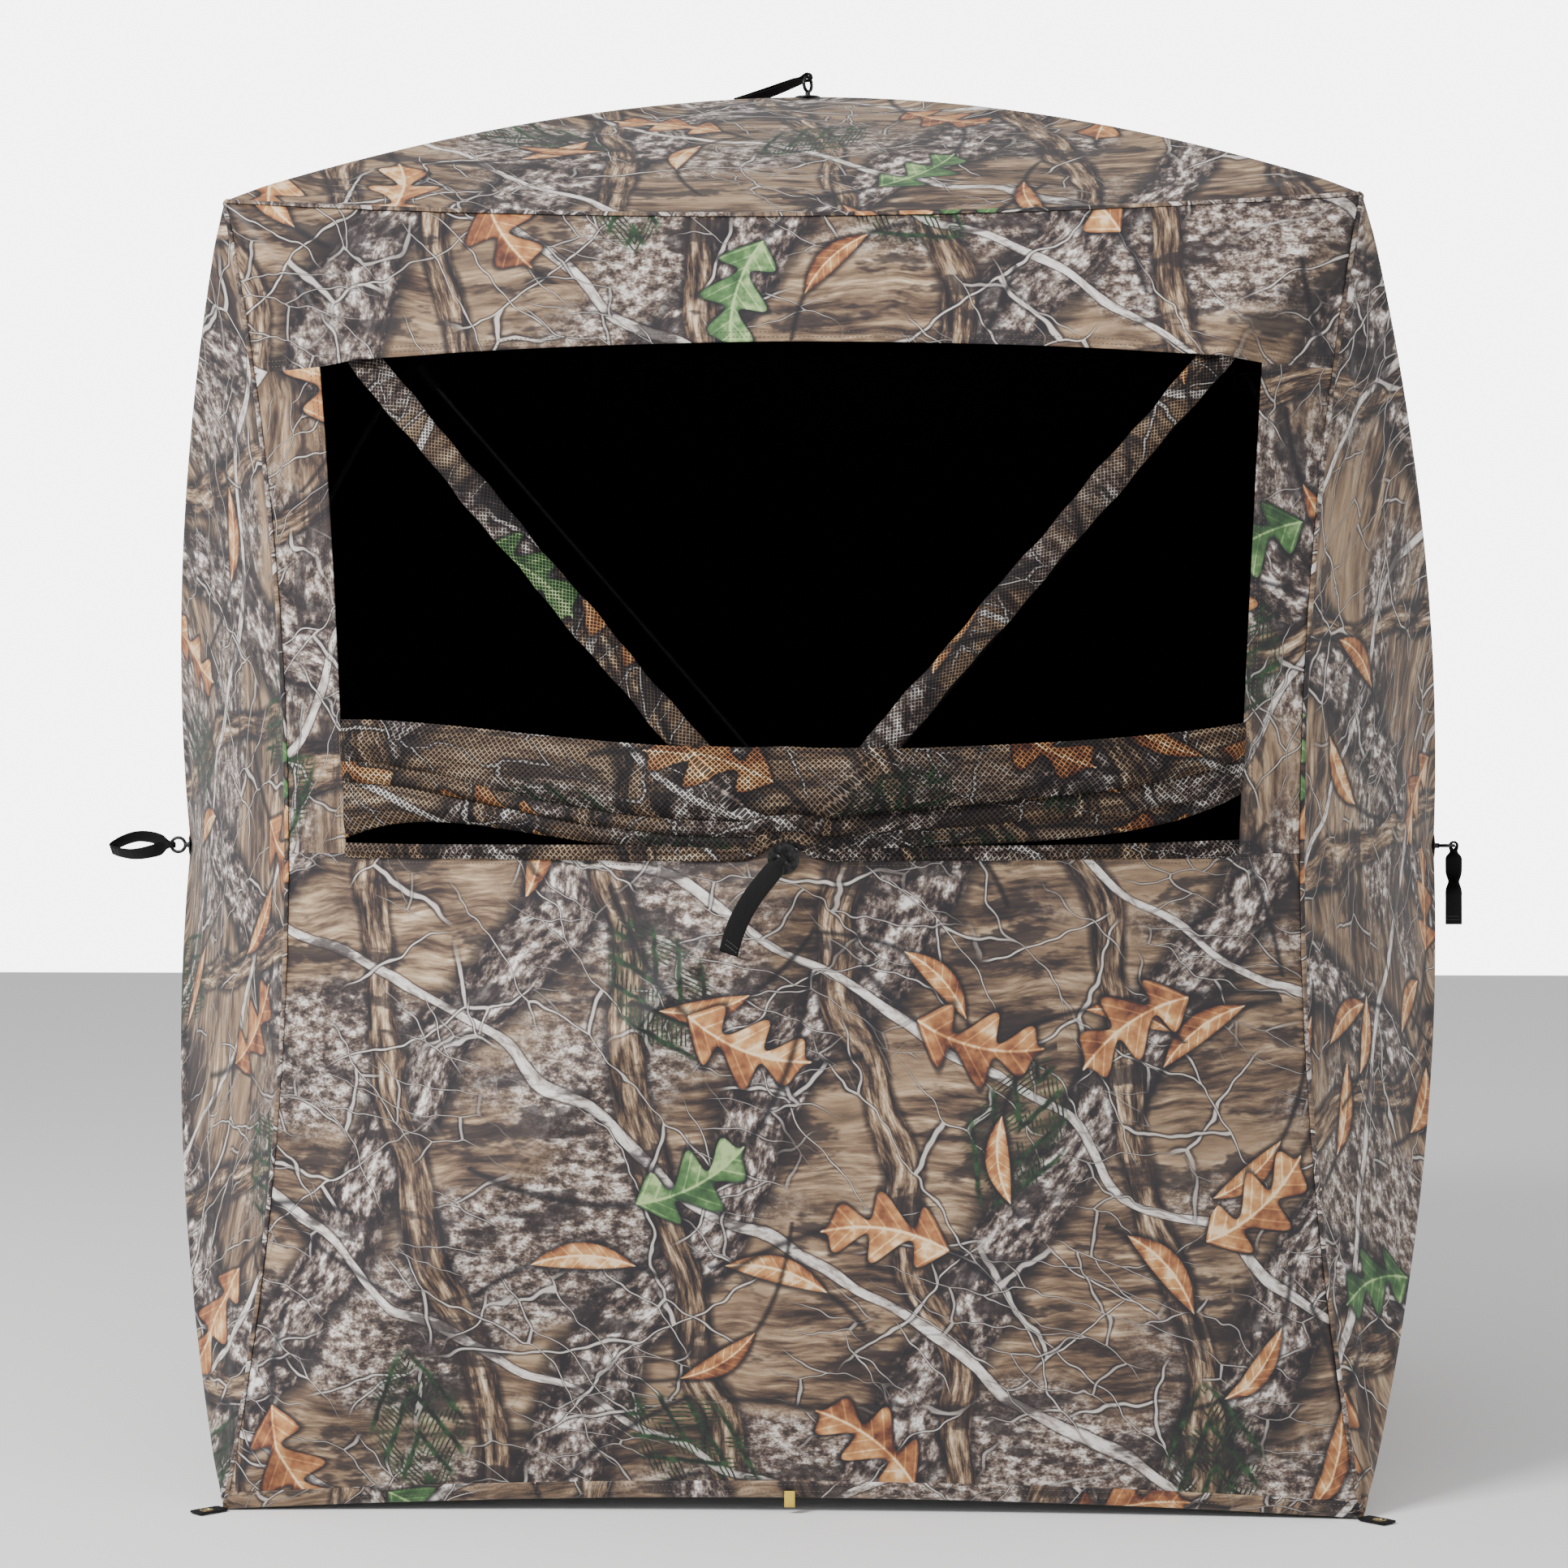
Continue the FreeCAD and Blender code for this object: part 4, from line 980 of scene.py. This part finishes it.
def surface_path(face, flat, lift=0.0, wrinkled=True):
    """World points and normals of the cloth along flat points of a face."""
    x, y = np.asarray(flat, float).T
    height = face.surface if wrinkled else face.height
    slope_x = (height(x + SLOPE_STEP, y) - height(x - SLOPE_STEP, y)) / (2 * SLOPE_STEP)
    slope_y = (height(x, y + SLOPE_STEP) - height(x, y - SLOPE_STEP)) / (2 * SLOPE_STEP)
    turn = np.array(face.place.to_3x3())
    local = np.stack([x, y, height(x, y) + lift], axis=1)
    normals = np.stack([-slope_x, -slope_y, np.ones_like(x)], axis=1)
    normals /= np.linalg.norm(normals, axis=1)[:, None]
    return local @ turn.T + np.array(face.place.translation), normals @ turn.T


def line(start, end, step=0.01):
    count = max(2, int(math.dist(start, end) / step))
    share = np.linspace(0, 1, count)[:, None]
    return np.asarray(start) * (1 - share) + np.asarray(end) * share


OPENING_ROWS = (0.006, 0.013)  # twin rows of stitches, from the window's edge
SILL_ROWS = (0.005, 0.011)
VALANCE_ROW_END = 0.012  # rows stop this far from the wall's side
SILL_ROW_END = 0.075


def make_front_stitching():
    """Seams of the front wall: twin rows along the valance, the columns and the sill."""
    face = faces["front"]
    bag = Collector()
    rows = []
    edge_x = face.half_x - VALANCE_ROW_END
    for out in OPENING_ROWS:
        x = np.linspace(-edge_x, edge_x, 220)
        rows.append(np.stack([x, [window_top(value) + out for value in x]], axis=1))
    for sign in (1, -1):
        for out in OPENING_ROWS:
            low = (sign * (window_half(WINDOW_SILL) + out), WINDOW_SILL)
            high = (sign * (window_half(WINDOW_TOP) + out), WINDOW_TOP)
            rows.append(line(low, high))
    for down in SILL_ROWS:
        for sign in (1, -1):
            rows.append(line((sign * (HUB_TAB + 0.01), WINDOW_SILL - down),
                             (sign * (face.half_x - SILL_ROW_END), WINDOW_SILL - down)))
    for row in rows:
        stitch_run(bag, *surface_path(face, row), row)
    put_on_face(*bag.build("front_stitching", THREAD), face, "camo_fabric")


# section of a hem's band, from its foot up: height above the edge, and distance off the cloth
HEM_SECTION = ((0.0005, 0.0008), (0.006, 0.0022), (0.014, 0.0020), (0.0225, 0.0019), (0.024, 0.0006))
HEM_BACK = 0.0004
HEM_ROWS = (0.010, 0.019)
HEM_THREAD_LIFT = 0.0021


def make_hem_bands():
    """The ground hem of every wall: a folded band of cloth with two rows of stitches."""
    for name in TURNS:
        face = faces[name]
        bag, thread = Collector(), Collector()
        edge = np.array([face.edge_point("bottom", a)[:2] for a in np.linspace(-0.994, 0.994, 150)])
        rings, flats = [], []
        for x, y in edge:
            flat = [(x, y + height) for height, _ in HEM_SECTION]
            points, normals = surface_path(face, flat)
            ring = [p + n * lift for p, n, (_, lift) in zip(points, normals, HEM_SECTION)]
            ring += [p - n * HEM_BACK for p, n in zip(points[::-1], normals[::-1])]
            rings.append(ring)
            flats += flat + flat[::-1]
        points, polygons, uvs = mesh_from_rings(rings)
        bag.add(points, polygons, [tuple((v, -u) for u, v in corner) for corner in uvs], flats)
        put_on_face(*bag.build(f"{name}_hem", CAMO), face, "camo_fabric")
        for up in HEM_ROWS:
            row = edge + np.array([0, up])
            stitch_run(thread, *surface_path(face, row, HEM_THREAD_LIFT), row)
        put_on_face(*thread.build(f"{name}_hem_stitching", THREAD), face, "camo_fabric")


WELT_HALF_WIDTH = 0.0044
WELT_STEPS = 170
WELT_SIDES = 10
UPRIGHT_WELT = ("right", Vector((1, 0, 1)), 0.0026)  # edge, way out of the corner, half depth
EAVE_WELT = ("top", Vector((0, 1, 1)), 0.0017)


def welt_rings(face, side, outward, rise):
    """Rings of a rolled seam along one edge of a face."""
    out = (face.place.to_3x3() @ outward.normalized()).normalized()
    rings = []
    for k in range(WELT_STEPS + 1):
        along = -0.997 + 1.994 * k / WELT_STEPS
        centre = face.place @ face.edge_point(side, along)
        ahead = face.place @ face.edge_point(side, min(1, along + 0.01)) - centre
        across = ahead.cross(out).normalized()
        swell = 1 + 0.10 * math.sin(k * 0.9) * math.sin(k * 0.37)
        rings.append([centre + across * (WELT_HALF_WIDTH * swell * math.cos(angle))
                      + out * (rise * swell * math.sin(angle)) for angle in angles(WELT_SIDES)])
    return rings


def make_seam_welts():
    """Rolled seams where two faces meet: the four upright corners and the four eaves."""
    middle = Vector((0, 0, WALL_HEIGHT / 2))
    for name, form in (("corner_seams", UPRIGHT_WELT), ("eave_seams", EAVE_WELT)):
        bag = Collector()
        for wall in TURNS:
            bag.add(*mesh_from_rings(welt_rings(faces[wall], *form)))
        welts, _ = bag.build(name, CAMO, LINING)
        for polygon in welts.data.polygons:
            if polygon.normal.dot(polygon.center - middle) < 0:
                polygon.material_index = 1
        put_on_body(welts, "shell", "camo_fabric")


# === Window net and rod sleeves ===

NET_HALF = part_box("window_net")[1].x
NET_TUCK = 0.004
NET_THICKNESS = 0.0009
FOLD_SAG = 1.5  # a fold hangs fuller near its foot
HUB_CLEARANCE = 0.022  # lifts the net over the hub's washer
HUB_CLEARANCE_HALF = 0.030
HUB_LEVEL = 0.014  # folds that start above this are lifted less
SEWN_FROM = 0.94  # share of the half width where the net is sewn into the side
SEWN_DEPTH = 0.0032
FOLD_FULLNESS = 1.25  # length of net in a fold over the height it fills
NET_COLUMNS = 240
NET_ROWS = 34
# height of each fold above the wall's middle, from the left end of the window to the right one
FOLD_AT = (-1.0, -0.72, -0.42, 0.0, 0.42, 0.78, 1.0)
TOP_EDGE = (0.180, 0.170, 0.152, 0.138, 0.144, 0.158, 0.176)
UPPER_FOLD = (0.126, 0.104, 0.064, 0.052, 0.072, 0.098, 0.138)
LOWER_FOLD = (0.100, 0.082, 0.046, 0.030, 0.044, 0.066, 0.096)
NET_FOOT = (0.020, 0.046, 0.014, 0.010, 0.012, 0.040, 0.082)
SILL_ROLL = (0.016, 0.015, 0.016, 0.016, 0.015, 0.017, 0.021)


def along_fold(heights, q):
    """Smooth line through a fold's heights."""
    fit = np.polynomial.Polynomial.fit(FOLD_AT, heights, 5)
    return fit(q)


def net_sheet(bag, upper, lower, back, swell, seed, rolled=False, on_sill=False):
    """One hanging fold of net, between two lines: it bellies out and tucks in under itself."""
    face = faces["front"]
    q = np.linspace(-1, 1, NET_COLUMNS)
    drop = np.linspace(0, 1, NET_ROWS)
    high, low = along_fold(upper, q), along_fold(lower, q)
    points, flats = [], []
    for position, top, bottom in zip(q, high, low):
        y = top + (bottom - top) * drop
        x = position * (window_half(y) + NET_TUCK)
        nearness = 1.0 if on_sill else HUB_LEVEL / max(top, HUB_LEVEL)
        y = y + HUB_CLEARANCE * np.exp(-((x / HUB_CLEARANCE_HALF) ** 2)) * nearness
        sewn = max(0, (abs(position) - SEWN_FROM) / (1 - SEWN_FROM)) ** 2
        belly = np.sin(math.pi * drop**FOLD_SAG) ** 0.7
        ripple = 0.0022 * np.sin(9 * drop + 3.1 * position + seed) * belly
        ripple = ripple + 0.0016 * waves(x, y * 3, 0.11, seed) * belly
        out = back + swell * belly + ripple
        if rolled:
            out = out + 0.0035 * np.exp(-((drop / 0.05) ** 2))
        out = out * (1 - sewn) - SEWN_DEPTH * sewn
        flat = np.stack([x, y], axis=1)
        world, normals = surface_path(face, flat, wrinkled=False)
        points.append(world + normals * out[:, None])
        flats.append(flat)
    polygons, uvs = [], []
    length = drop * FOLD_FULLNESS
    for i in range(NET_COLUMNS - 1):
        for j in range(NET_ROWS - 1):
            a = i * NET_ROWS + j
            polygons.append((a, a + 1, a + NET_ROWS + 1, a + NET_ROWS))
            corner = [(q[m] * NET_HALF, seed * 0.31 - length[n] * (high[m] - low[m]))
                      for m, n in ((i, j), (i, j + 1), (i + 1, j + 1), (i + 1, j))]
            uvs.append(tuple(corner))
    bag.add(np.concatenate(points), polygons, uvs, np.concatenate(flats))


def make_window_net():
    """The shoot-through net, let down: two deep folds, a tucked one and the strip sewn to the sill."""
    bag = Collector()
    top_foot = [height - 0.006 for height in UPPER_FOLD]
    middle_head = [height + 0.016 for height in UPPER_FOLD]
    middle_foot = [height - 0.006 for height in LOWER_FOLD]
    low_head = [height + 0.014 for height in LOWER_FOLD]
    sill = [WINDOW_SILL - 0.005] * len(FOLD_AT)
    net_sheet(bag, TOP_EDGE, top_foot, 0.001, 0.026, 1, rolled=True)
    net_sheet(bag, middle_head, middle_foot, -0.004, 0.020, 2)
    net_sheet(bag, low_head, NET_FOOT, -0.005, 0.013, 4)
    net_sheet(bag, SILL_ROLL, sill, 0.001, 0.005, 6, on_sill=True)
    net, flat = bag.build("window_mesh", NET)
    give_thickness(net, NET_THICKNESS, 1)
    put_on_face(net, flat, faces["front"], "net", "window_net")


SLEEVE_START, SLEEVE_END = 0.075, 0.850
SLEEVE_HALF_WIDTH = 0.0195
SLEEVE_HALF_DEPTH = 0.0078
SLEEVE_STEPS = 190
SLEEVE_SIDES = 28
ROD_BOW = 0.042
ROD_TIP_RADIUS = 0.007


def joint_named(name):
    return next(joint for joint in frame["joints"] if joint["name"] == name)


def rod_path(corner, reaches):
    """Centre line of a front rod at distances from its pin, with its pin's axis and its bow's way."""
    joint = joint_named(f"front_rod_{corner}_fold")
    pin, hinge = Vector(joint["pos_m"]), Vector(joint["axis"])
    low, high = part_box(f"front_rod_{corner}")
    far_x = high.x if pin.x > 0 else low.x
    tip = Vector((far_x - math.copysign(ROD_TIP_RADIUS, far_x), high.y - ROD_TIP_RADIUS,
                  high.z - ROD_TIP_RADIUS))
    chord = tip - pin
    lift = hinge.cross(chord).normalized()
    if lift.y > 0:
        lift = -lift
    # the length of a shallow arc, from its chord and its bow
    rod_length = chord.length * (1 + 8 / 3 * (ROD_BOW / chord.length) ** 2)
    share = np.asarray(reaches)[:, None] / rod_length
    bow = 4 * ROD_BOW * share * (1 - share)
    centres = np.array(pin) + share * np.array(chord) + bow * np.array(lift)
    return centres, np.array(hinge), np.array(lift)


def make_rod_sleeve(corner):
    """Sleeve of net, sewn flat along one side and creased round its rod."""
    reaches = np.linspace(SLEEVE_START, SLEEVE_END, SLEEVE_STEPS)
    centres, across, lift = rod_path(corner, reaches)
    seed = 3 if corner == "upper_left" else 8
    rings = []
    for centre, reach in zip(centres, reaches):
        ring = []
        gather = 1 + 0.06 * math.sin(reach * 31 + seed) + 0.04 * math.sin(reach * 83 + seed)
        for angle in angles(SLEEVE_SIDES):
            squeeze = abs(math.cos(angle)) ** 1.6
            side = SLEEVE_HALF_WIDTH * gather * math.cos(angle)
            depth = SLEEVE_HALF_DEPTH * math.sin(angle) * (1 - 0.35 * squeeze)
            fold = 0.0007 * math.sin(reach * 160 + 5 * angle + seed) * math.sin(angle)
            ring.append(centre + across * side + lift * (depth + fold))
        rings.append(ring)
    bag = Collector()
    points, polygons, uvs = mesh_from_rings(rings)
    bag.add(points, polygons, [tuple((u, v + seed * 0.21) for u, v in polygon) for polygon in uvs])
    sleeve, _ = bag.build(f"sleeve_{corner}", SLEEVE_NET)
    put_on_body(sleeve, f"front_rod_{corner}", "net", f"rod_sleeve_{corner}")


# === Pull straps, hem loop and ground loops ===

STRAP_WIDTH = 0.025
STRAP_PLY = 0.0014
STRAP_BUNCH = 0.0034  # thickness of a ply gathered in the eye
WIRE_LOOP = 0.0055  # middle of the ply that goes round the eye's wire
EYE_WIDTH = 0.40  # share of the strap's width where it is gathered in the eye
EYE_STEPS = 12
PLY_STEPS = 60
STRAP_ROWS = (0.007, 0.012)  # rows of stitches, from the strap's end
STRAP_ROW_HALF = 0.0105
# per face: length, how far the plies part, sideways bend in degrees, and the twist in degrees
# at shares of the length
STRAP_FORM = {
    "front": (0.134, 0.0012, 30, ((0, 0), (0.3, 6), (0.8, 12), (1, 16))),
    "right": (0.120, 0.0014, 0, ((0, 0), (0.16, 72), (0.34, 60), (0.46, 20), (0.62, 80), (1, 88))),
    "back": (0.136, 0.0014, 8, ((0, 0), (0.5, 8), (1, 20))),
    "left": (0.094, 0.0175, 12, ((0, 0), (0.22, 38), (0.6, 50), (1, 54))),
    "roof": (0.126, 0.0014, 12, ((0, 0), (0.5, -10), (1, -20))),
}


class StrapShape:
    """Where a strap's two plies run, measured from its eye."""

    def __init__(self, name):
        joint = joint_named(f"{name}_strap_swing")
        self.eye, self.wire = np.array(joint["pos_m"]), np.array(joint["axis"])
        low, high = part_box(f"{name}_pull_strap")
        down = (np.array(low) + np.array(high)) / 2 - self.eye
        down = down - self.wire * (down @ self.wire)
        self.down = down / np.linalg.norm(down)
        self.front = np.cross(self.wire, self.down)
        self.reach, self.part, self.bend, self.twist = STRAP_FORM[name]

    def directions(self, share):
        """The strap's width and its thickness, part of the way down."""
        shares, degrees = zip(*self.twist)
        turn = math.radians(np.interp(share, shares, degrees))
        side = self.wire * math.cos(turn) + self.front * math.sin(turn)
        return side, self.front * math.cos(turn) - self.wire * math.sin(turn)

    def gap(self, share):
        """Half the distance between the plies: round the wire, then together or apart, and joined."""
        neck = WIRE_LOOP * math.exp(-((share / 0.07) ** 2))
        return max(neck, STRAP_PLY * 0.56) + self.part * math.sin(math.pi * min(1, share)) ** 0.8

    def point(self, down, through):
        share = max(0.0, down / self.reach)
        lean = math.radians(self.bend) * max(0.0, share - 0.35) ** 1.4
        sideways = self.reach * math.tan(lean) * share * 0.55
        side, thickness = self.directions(share)
        sign = 1 if self.wire[2] >= 0 else -1
        return self.eye + self.down * down + thickness * through - self.wire * sideways * sign


def make_strap(name):
    """A loop of webbing through the hub's eye: two plies that part or lie together, sewn at the end."""
    shape = StrapShape(name)
    round_wire = [(-WIRE_LOOP * math.sin(angle), -WIRE_LOOP * math.cos(angle))
                  for angle in np.linspace(0, math.pi, EYE_STEPS + 1)]
    ply = [(share * shape.reach, shape.gap(share)) for share in np.linspace(0.03, 1, PLY_STEPS)]
    loop = round_wire + ply + [(down, -gap) for down, gap in reversed(ply)]
    centres, across, widths, thicknesses = [], [], [], []
    for down, through in loop:
        spread = min(1.0, max(0.0, (down - 0.003) / 0.016))
        spread = spread * spread * (3 - 2 * spread)
        centres.append(shape.point(down, through))
        across.append(shape.directions(max(0.0, down / shape.reach))[0])
        widths.append(STRAP_WIDTH * (EYE_WIDTH + (1 - EYE_WIDTH) * spread))
        thicknesses.append(STRAP_BUNCH + (STRAP_PLY - STRAP_BUNCH) * spread)
    bag = Collector()
    bag.add(*ribbon(centres, across, widths, thicknesses, closed=True))
    strap, _ = bag.build(f"{name}_strap", BLACK_WEBBING)
    put_on_body(strap, f"{name}_pull_strap", "webbing", f"{name}_pull_strap")
    sew_strap(name, shape)


def sew_strap(name, shape):
    """Two rows of stitches across the strap's end, on both plies."""
    thread = Collector()
    for back in STRAP_ROWS:
        down = shape.reach - back
        side, thickness = shape.directions(down / shape.reach)
        for sign in (1, -1):
            lift = shape.gap(down / shape.reach) + STRAP_PLY / 2
            middle = shape.point(down, sign * lift)
            row = [middle + side * w for w in np.linspace(-STRAP_ROW_HALF, STRAP_ROW_HALF, 6)]
            normals = [thickness * sign] * len(row)
            stitch_run(thread, row, normals, np.zeros((len(row), 2)), 0.002, 0.0012, 0.0003)
    stitching, _ = thread.build(f"{name}_strap_stitching", PALE_THREAD)
    put_on_body(stitching, f"{name}_pull_strap", "webbing")


HEM_LOOP_STEPS = 28


def make_hem_loop():
    """The small yellow loop under the middle of the front hem."""
    low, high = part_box("hem_loop")
    middle, half = (low + high) / 2, (high - low) / 2
    centres = []
    for angle in angles(HEM_LOOP_STEPS):
        y = middle.y + 0.0030 * math.cos(angle) * (1.1 - math.sin(angle) * 0.5)
        centres.append((0, y, middle.z + half.z * math.sin(angle) * 0.93))
    count = len(centres)
    widths, thicknesses = [2 * half.x] * count, [0.0012] * count
    bag = Collector()
    bag.add(*ribbon(centres, [(1.0, 0, 0)] * count, widths, thicknesses, closed=True))
    loop, _ = bag.build("hem_pull_loop", YELLOW_WEBBING)
    put_on_body(loop, "shell", "hem_webbing", "hem_loop")


TAB_AHEAD = 0.018  # the tab's ends and side, from its hole
TAB_BACK = 0.026
TAB_HALF_WIDTH = 0.013
TAB_THICKNESS = 0.0026
TAB_HOLE = 0.0062
TAB_STEPS = 48
GROMMET_RADIUS = TAB_HOLE + 0.0016  # middle line of its ring
GROMMET_SECTION = (0.0021, 0.0017)  # half width and half height
GROMMET_STEPS = 36
GROMMET_SIDES = 8


def tab_ring(centre, out, side, angle):
    """Section of a tab in one direction from its hole, up to the tab's rectangular outline."""
    a, b = math.cos(angle), math.sin(angle)
    ahead = (TAB_AHEAD if a > 0 else TAB_BACK) / max(abs(a), 1e-9)
    reach = min(ahead, TAB_HALF_WIDTH / max(abs(b), 1e-9))
    half = TAB_THICKNESS / 2
    corners = ((TAB_HOLE, -half), (reach, -half), (reach, half), (TAB_HOLE, half))
    return [centre + (out * a + side * b) * radius + np.array([0, 0, height])
            for radius, height in corners]


def grommet_ring(centre, out, side, angle):
    """Section of a grommet in one direction from its hole."""
    radial = out * math.cos(angle) + side * math.sin(angle)
    half_width, half_height = GROMMET_SECTION
    return [centre + radial * (GROMMET_RADIUS + half_width * math.cos(turn))
            + np.array([0, 0, 0.0003 + half_height * math.sin(turn)])
            for turn in angles(GROMMET_SIDES)]


def make_ground_loops():
    """A webbing tab at each floor corner, with a brass grommet for a stake."""
    tabs, grommets = Collector(), Collector()
    for mount in frame["record"]["mounts"]:
        if not mount["name"].startswith("stake_hole"):
            continue
        centre = np.array(mount["pos_m"])
        out = np.array([centre[0], centre[1], 0]) / math.hypot(centre[0], centre[1])
        side = np.array([-out[1], out[0], 0])
        rings = [tab_ring(centre, out, side, angle) for angle in angles(TAB_STEPS)]
        points, polygons, _ = mesh_from_rings(rings, closed_along=True)
        flat = [((point - centre) @ side, (point - centre) @ out) for point in points]
        tabs.add(points, polygons, [tuple(flat[k] for k in polygon) for polygon in polygons])
        rings = [grommet_ring(centre, out, side, angle) for angle in angles(GROMMET_STEPS)]
        grommets.add(*mesh_from_rings(rings, closed_along=True))
    tab, _ = tabs.build("ground_loops", BLACK_WEBBING)
    make_faceted(tab)
    put_on_body(tab, "shell", "webbing", "stake_loops")
    ring, _ = grommets.build("ground_grommets", GROMMET)
    put_on_body(ring, "shell", "steel")


ZIP_PITCH = 0.0042
ZIP_TAPE_THICKNESS = 0.0014
TOOTH_HALF = (0.003, 0.0012)
TOOTH_SHIFT = 0.0010  # neighbouring teeth lean to opposite sides
TOOTH_RISE = 0.0010
TOOTH_HEIGHT = 0.0028


def make_door_zip():
    """Zip round the door: woven tape behind the opening's edge, with a row of teeth."""
    face = faces["back"]
    corners = door_corners()
    path = [line(a, b, 0.006)[:-1] for a, b in zip(corners, corners[1:])]
    path = np.concatenate(path + [[corners[-1]]])
    ahead = np.gradient(path, axis=0)
    aside = np.stack([-ahead[:, 1], ahead[:, 0]], axis=1)
    aside /= np.linalg.norm(aside, axis=1)[:, None]
    tape, teeth = Collector(), Collector()
    rings = []
    for point, side in zip(path, aside):
        flat = [point + side * ZIP_HALF * w for w in (-1, -0.5, 0, 0.5, 1)]
        world, normals = surface_path(face, flat, wrinkled=False)
        front = world - normals * ZIP_DEPTH
        rings.append(list(front) + list((front - normals * ZIP_TAPE_THICKNESS)[::-1]))
    tape.add(*mesh_from_rings(rings))
    zip_tape, _ = tape.build("door_zip", BLACK_WEBBING)
    put_on_body(zip_tape, "door_frame", "zip", "door_zip_tape")
    reach = distances(path)
    half_across, half_along = TOOTH_HALF
    for k in range(int(reach[-1] / ZIP_PITCH)):
        spot = interpolated(k * ZIP_PITCH, reach, path)
        side = interpolated(k * ZIP_PITCH, reach, aside)
        forward = np.array([side[1], -side[0]])
        spot = spot + side * (TOOTH_SHIFT if k % 2 else -TOOTH_SHIFT)
        flat = [spot + side * a * half_across + forward * b * half_along
                for a, b in ((-1, -1), (1, -1), (1, 1), (-1, 1))]
        world, normals = surface_path(face, flat, wrinkled=False)
        front = world - normals * (ZIP_DEPTH - TOOTH_RISE)
        teeth.add(*mesh_from_rings([list(front), list(front - normals * TOOTH_HEIGHT)]))
    chain, _ = teeth.build("door_zip_teeth", MOULDING)
    make_faceted(chain)
    put_on_body(chain, "door_frame", "zip")


# === The whole blind ===

make_front_cover()
make_back_cover_and_door()
make_plain_cover("left", "left_wall", upright_print, (0.55, 0.9))
make_plain_cover("right", "right_wall", upright_print, (1.85, 2.4))
make_plain_cover("roof", "roof_panel", level_print, (0.10, 0.62))
make_front_stitching()
make_hem_bands()
make_seam_welts()
make_window_net()
for rod_corner in ("upper_left", "upper_right"):
    make_rod_sleeve(rod_corner)
for face_name in faces:
    make_strap(face_name)
make_hem_loop()
make_ground_loops()
make_door_zip()


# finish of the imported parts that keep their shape, by a piece of their names
FINISHES = (
    ("_hub_pins", PIN_STEEL), ("_hub", MOULDING), ("_cups", MOULDING), ("_eyebolt", STEEL),
    ("_slider", ZIP_METAL), ("_rod_", ROD_GLASS),
)


def dress_node(name, obj):
    for piece, finish in FINISHES:
        if piece in name:
            obj.data.materials.clear()
            obj.data.materials.append(finish)
            return


for node_name, node_object in frame["nodes"].items():
    dress_node(node_name, node_object)

# === Floor, light and camera ===

FLOOR_HALF = 12.0
FLOOR_DROP = 0.0015  # keeps it clear of the hem
FLOOR_TONE = (0.93, 0.93, 0.93)


def make_floor():
    mesh = bmesh.new()
    bmesh.ops.create_grid(mesh, x_segments=2, y_segments=2, size=FLOOR_HALF)
    data = bpy.data.meshes.new("floor")
    mesh.to_mesh(data)
    mesh.free()
    material, shade, surface = new_material("floor")
    shade.fill(surface, {"Base Color": FLOOR_TONE, "Roughness": 0.9})
    floor = link_mesh("floor", data, material)
    floor.location.z = -FLOOR_DROP


LIGHT_AIM = Vector((0, 0, 0.9))


def make_light(name, place, size, power):
    data = bpy.data.lights.new(name, "AREA")
    data.energy = power
    data.size = size
    light = bpy.data.objects.new(name, data)
    light.location = place
    light.rotation_mode = "QUATERNION"
    light.rotation_quaternion = (LIGHT_AIM - Vector(place)).to_track_quat("-Z", "Y")
    bpy.context.scene.collection.objects.link(light)


CAMERA_AZIMUTH = math.radians(1.83)
CAMERA_DISTANCE = 5.226
CAMERA_AIM = math.radians(0.40)
CAMERA_HEIGHT = 0.9616
CAMERA_LENS = 77.98  # millimetres, like the sensor
CAMERA_SENSOR = 36


def make_camera():
    data = bpy.data.cameras.new("camera")
    data.lens = CAMERA_LENS
    data.sensor_width = CAMERA_SENSOR
    camera = bpy.data.objects.new("camera", data)
    camera.location = (CAMERA_DISTANCE * math.sin(CAMERA_AZIMUTH),
                       -CAMERA_DISTANCE * math.cos(CAMERA_AZIMUTH), CAMERA_HEIGHT)
    camera.rotation_euler = (math.pi / 2, 0, CAMERA_AZIMUTH + CAMERA_AIM)
    bpy.context.scene.collection.objects.link(camera)
    bpy.context.scene.camera = camera


AMBIENT_LIGHT = 0.70
BACKDROP_LIGHT = 6.0


def make_world():
    """Even light from all round, with a brighter backdrop that only the camera sees."""
    world = bpy.data.worlds.new("studio")
    world.use_nodes = True
    shade = Shader(world.node_tree)
    rays = shade.node("ShaderNodeLightPath").outputs["Is Camera Ray"]
    inputs = {"Value": rays, "To Min": AMBIENT_LIGHT, "To Max": BACKDROP_LIGHT}
    strength = shade.node("ShaderNodeMapRange", inputs).outputs["Result"]
    shade.fill(world.node_tree.nodes["Background"], {"Color": (1, 1, 1), "Strength": strength})
    bpy.context.scene.world = world


make_floor()
make_world()
make_light("key", (-3.6, -3.9, 4.4), 1.8, 500)
make_light("fill", (4.0, -3.4, 2.0), 3.0, 60)
make_camera()
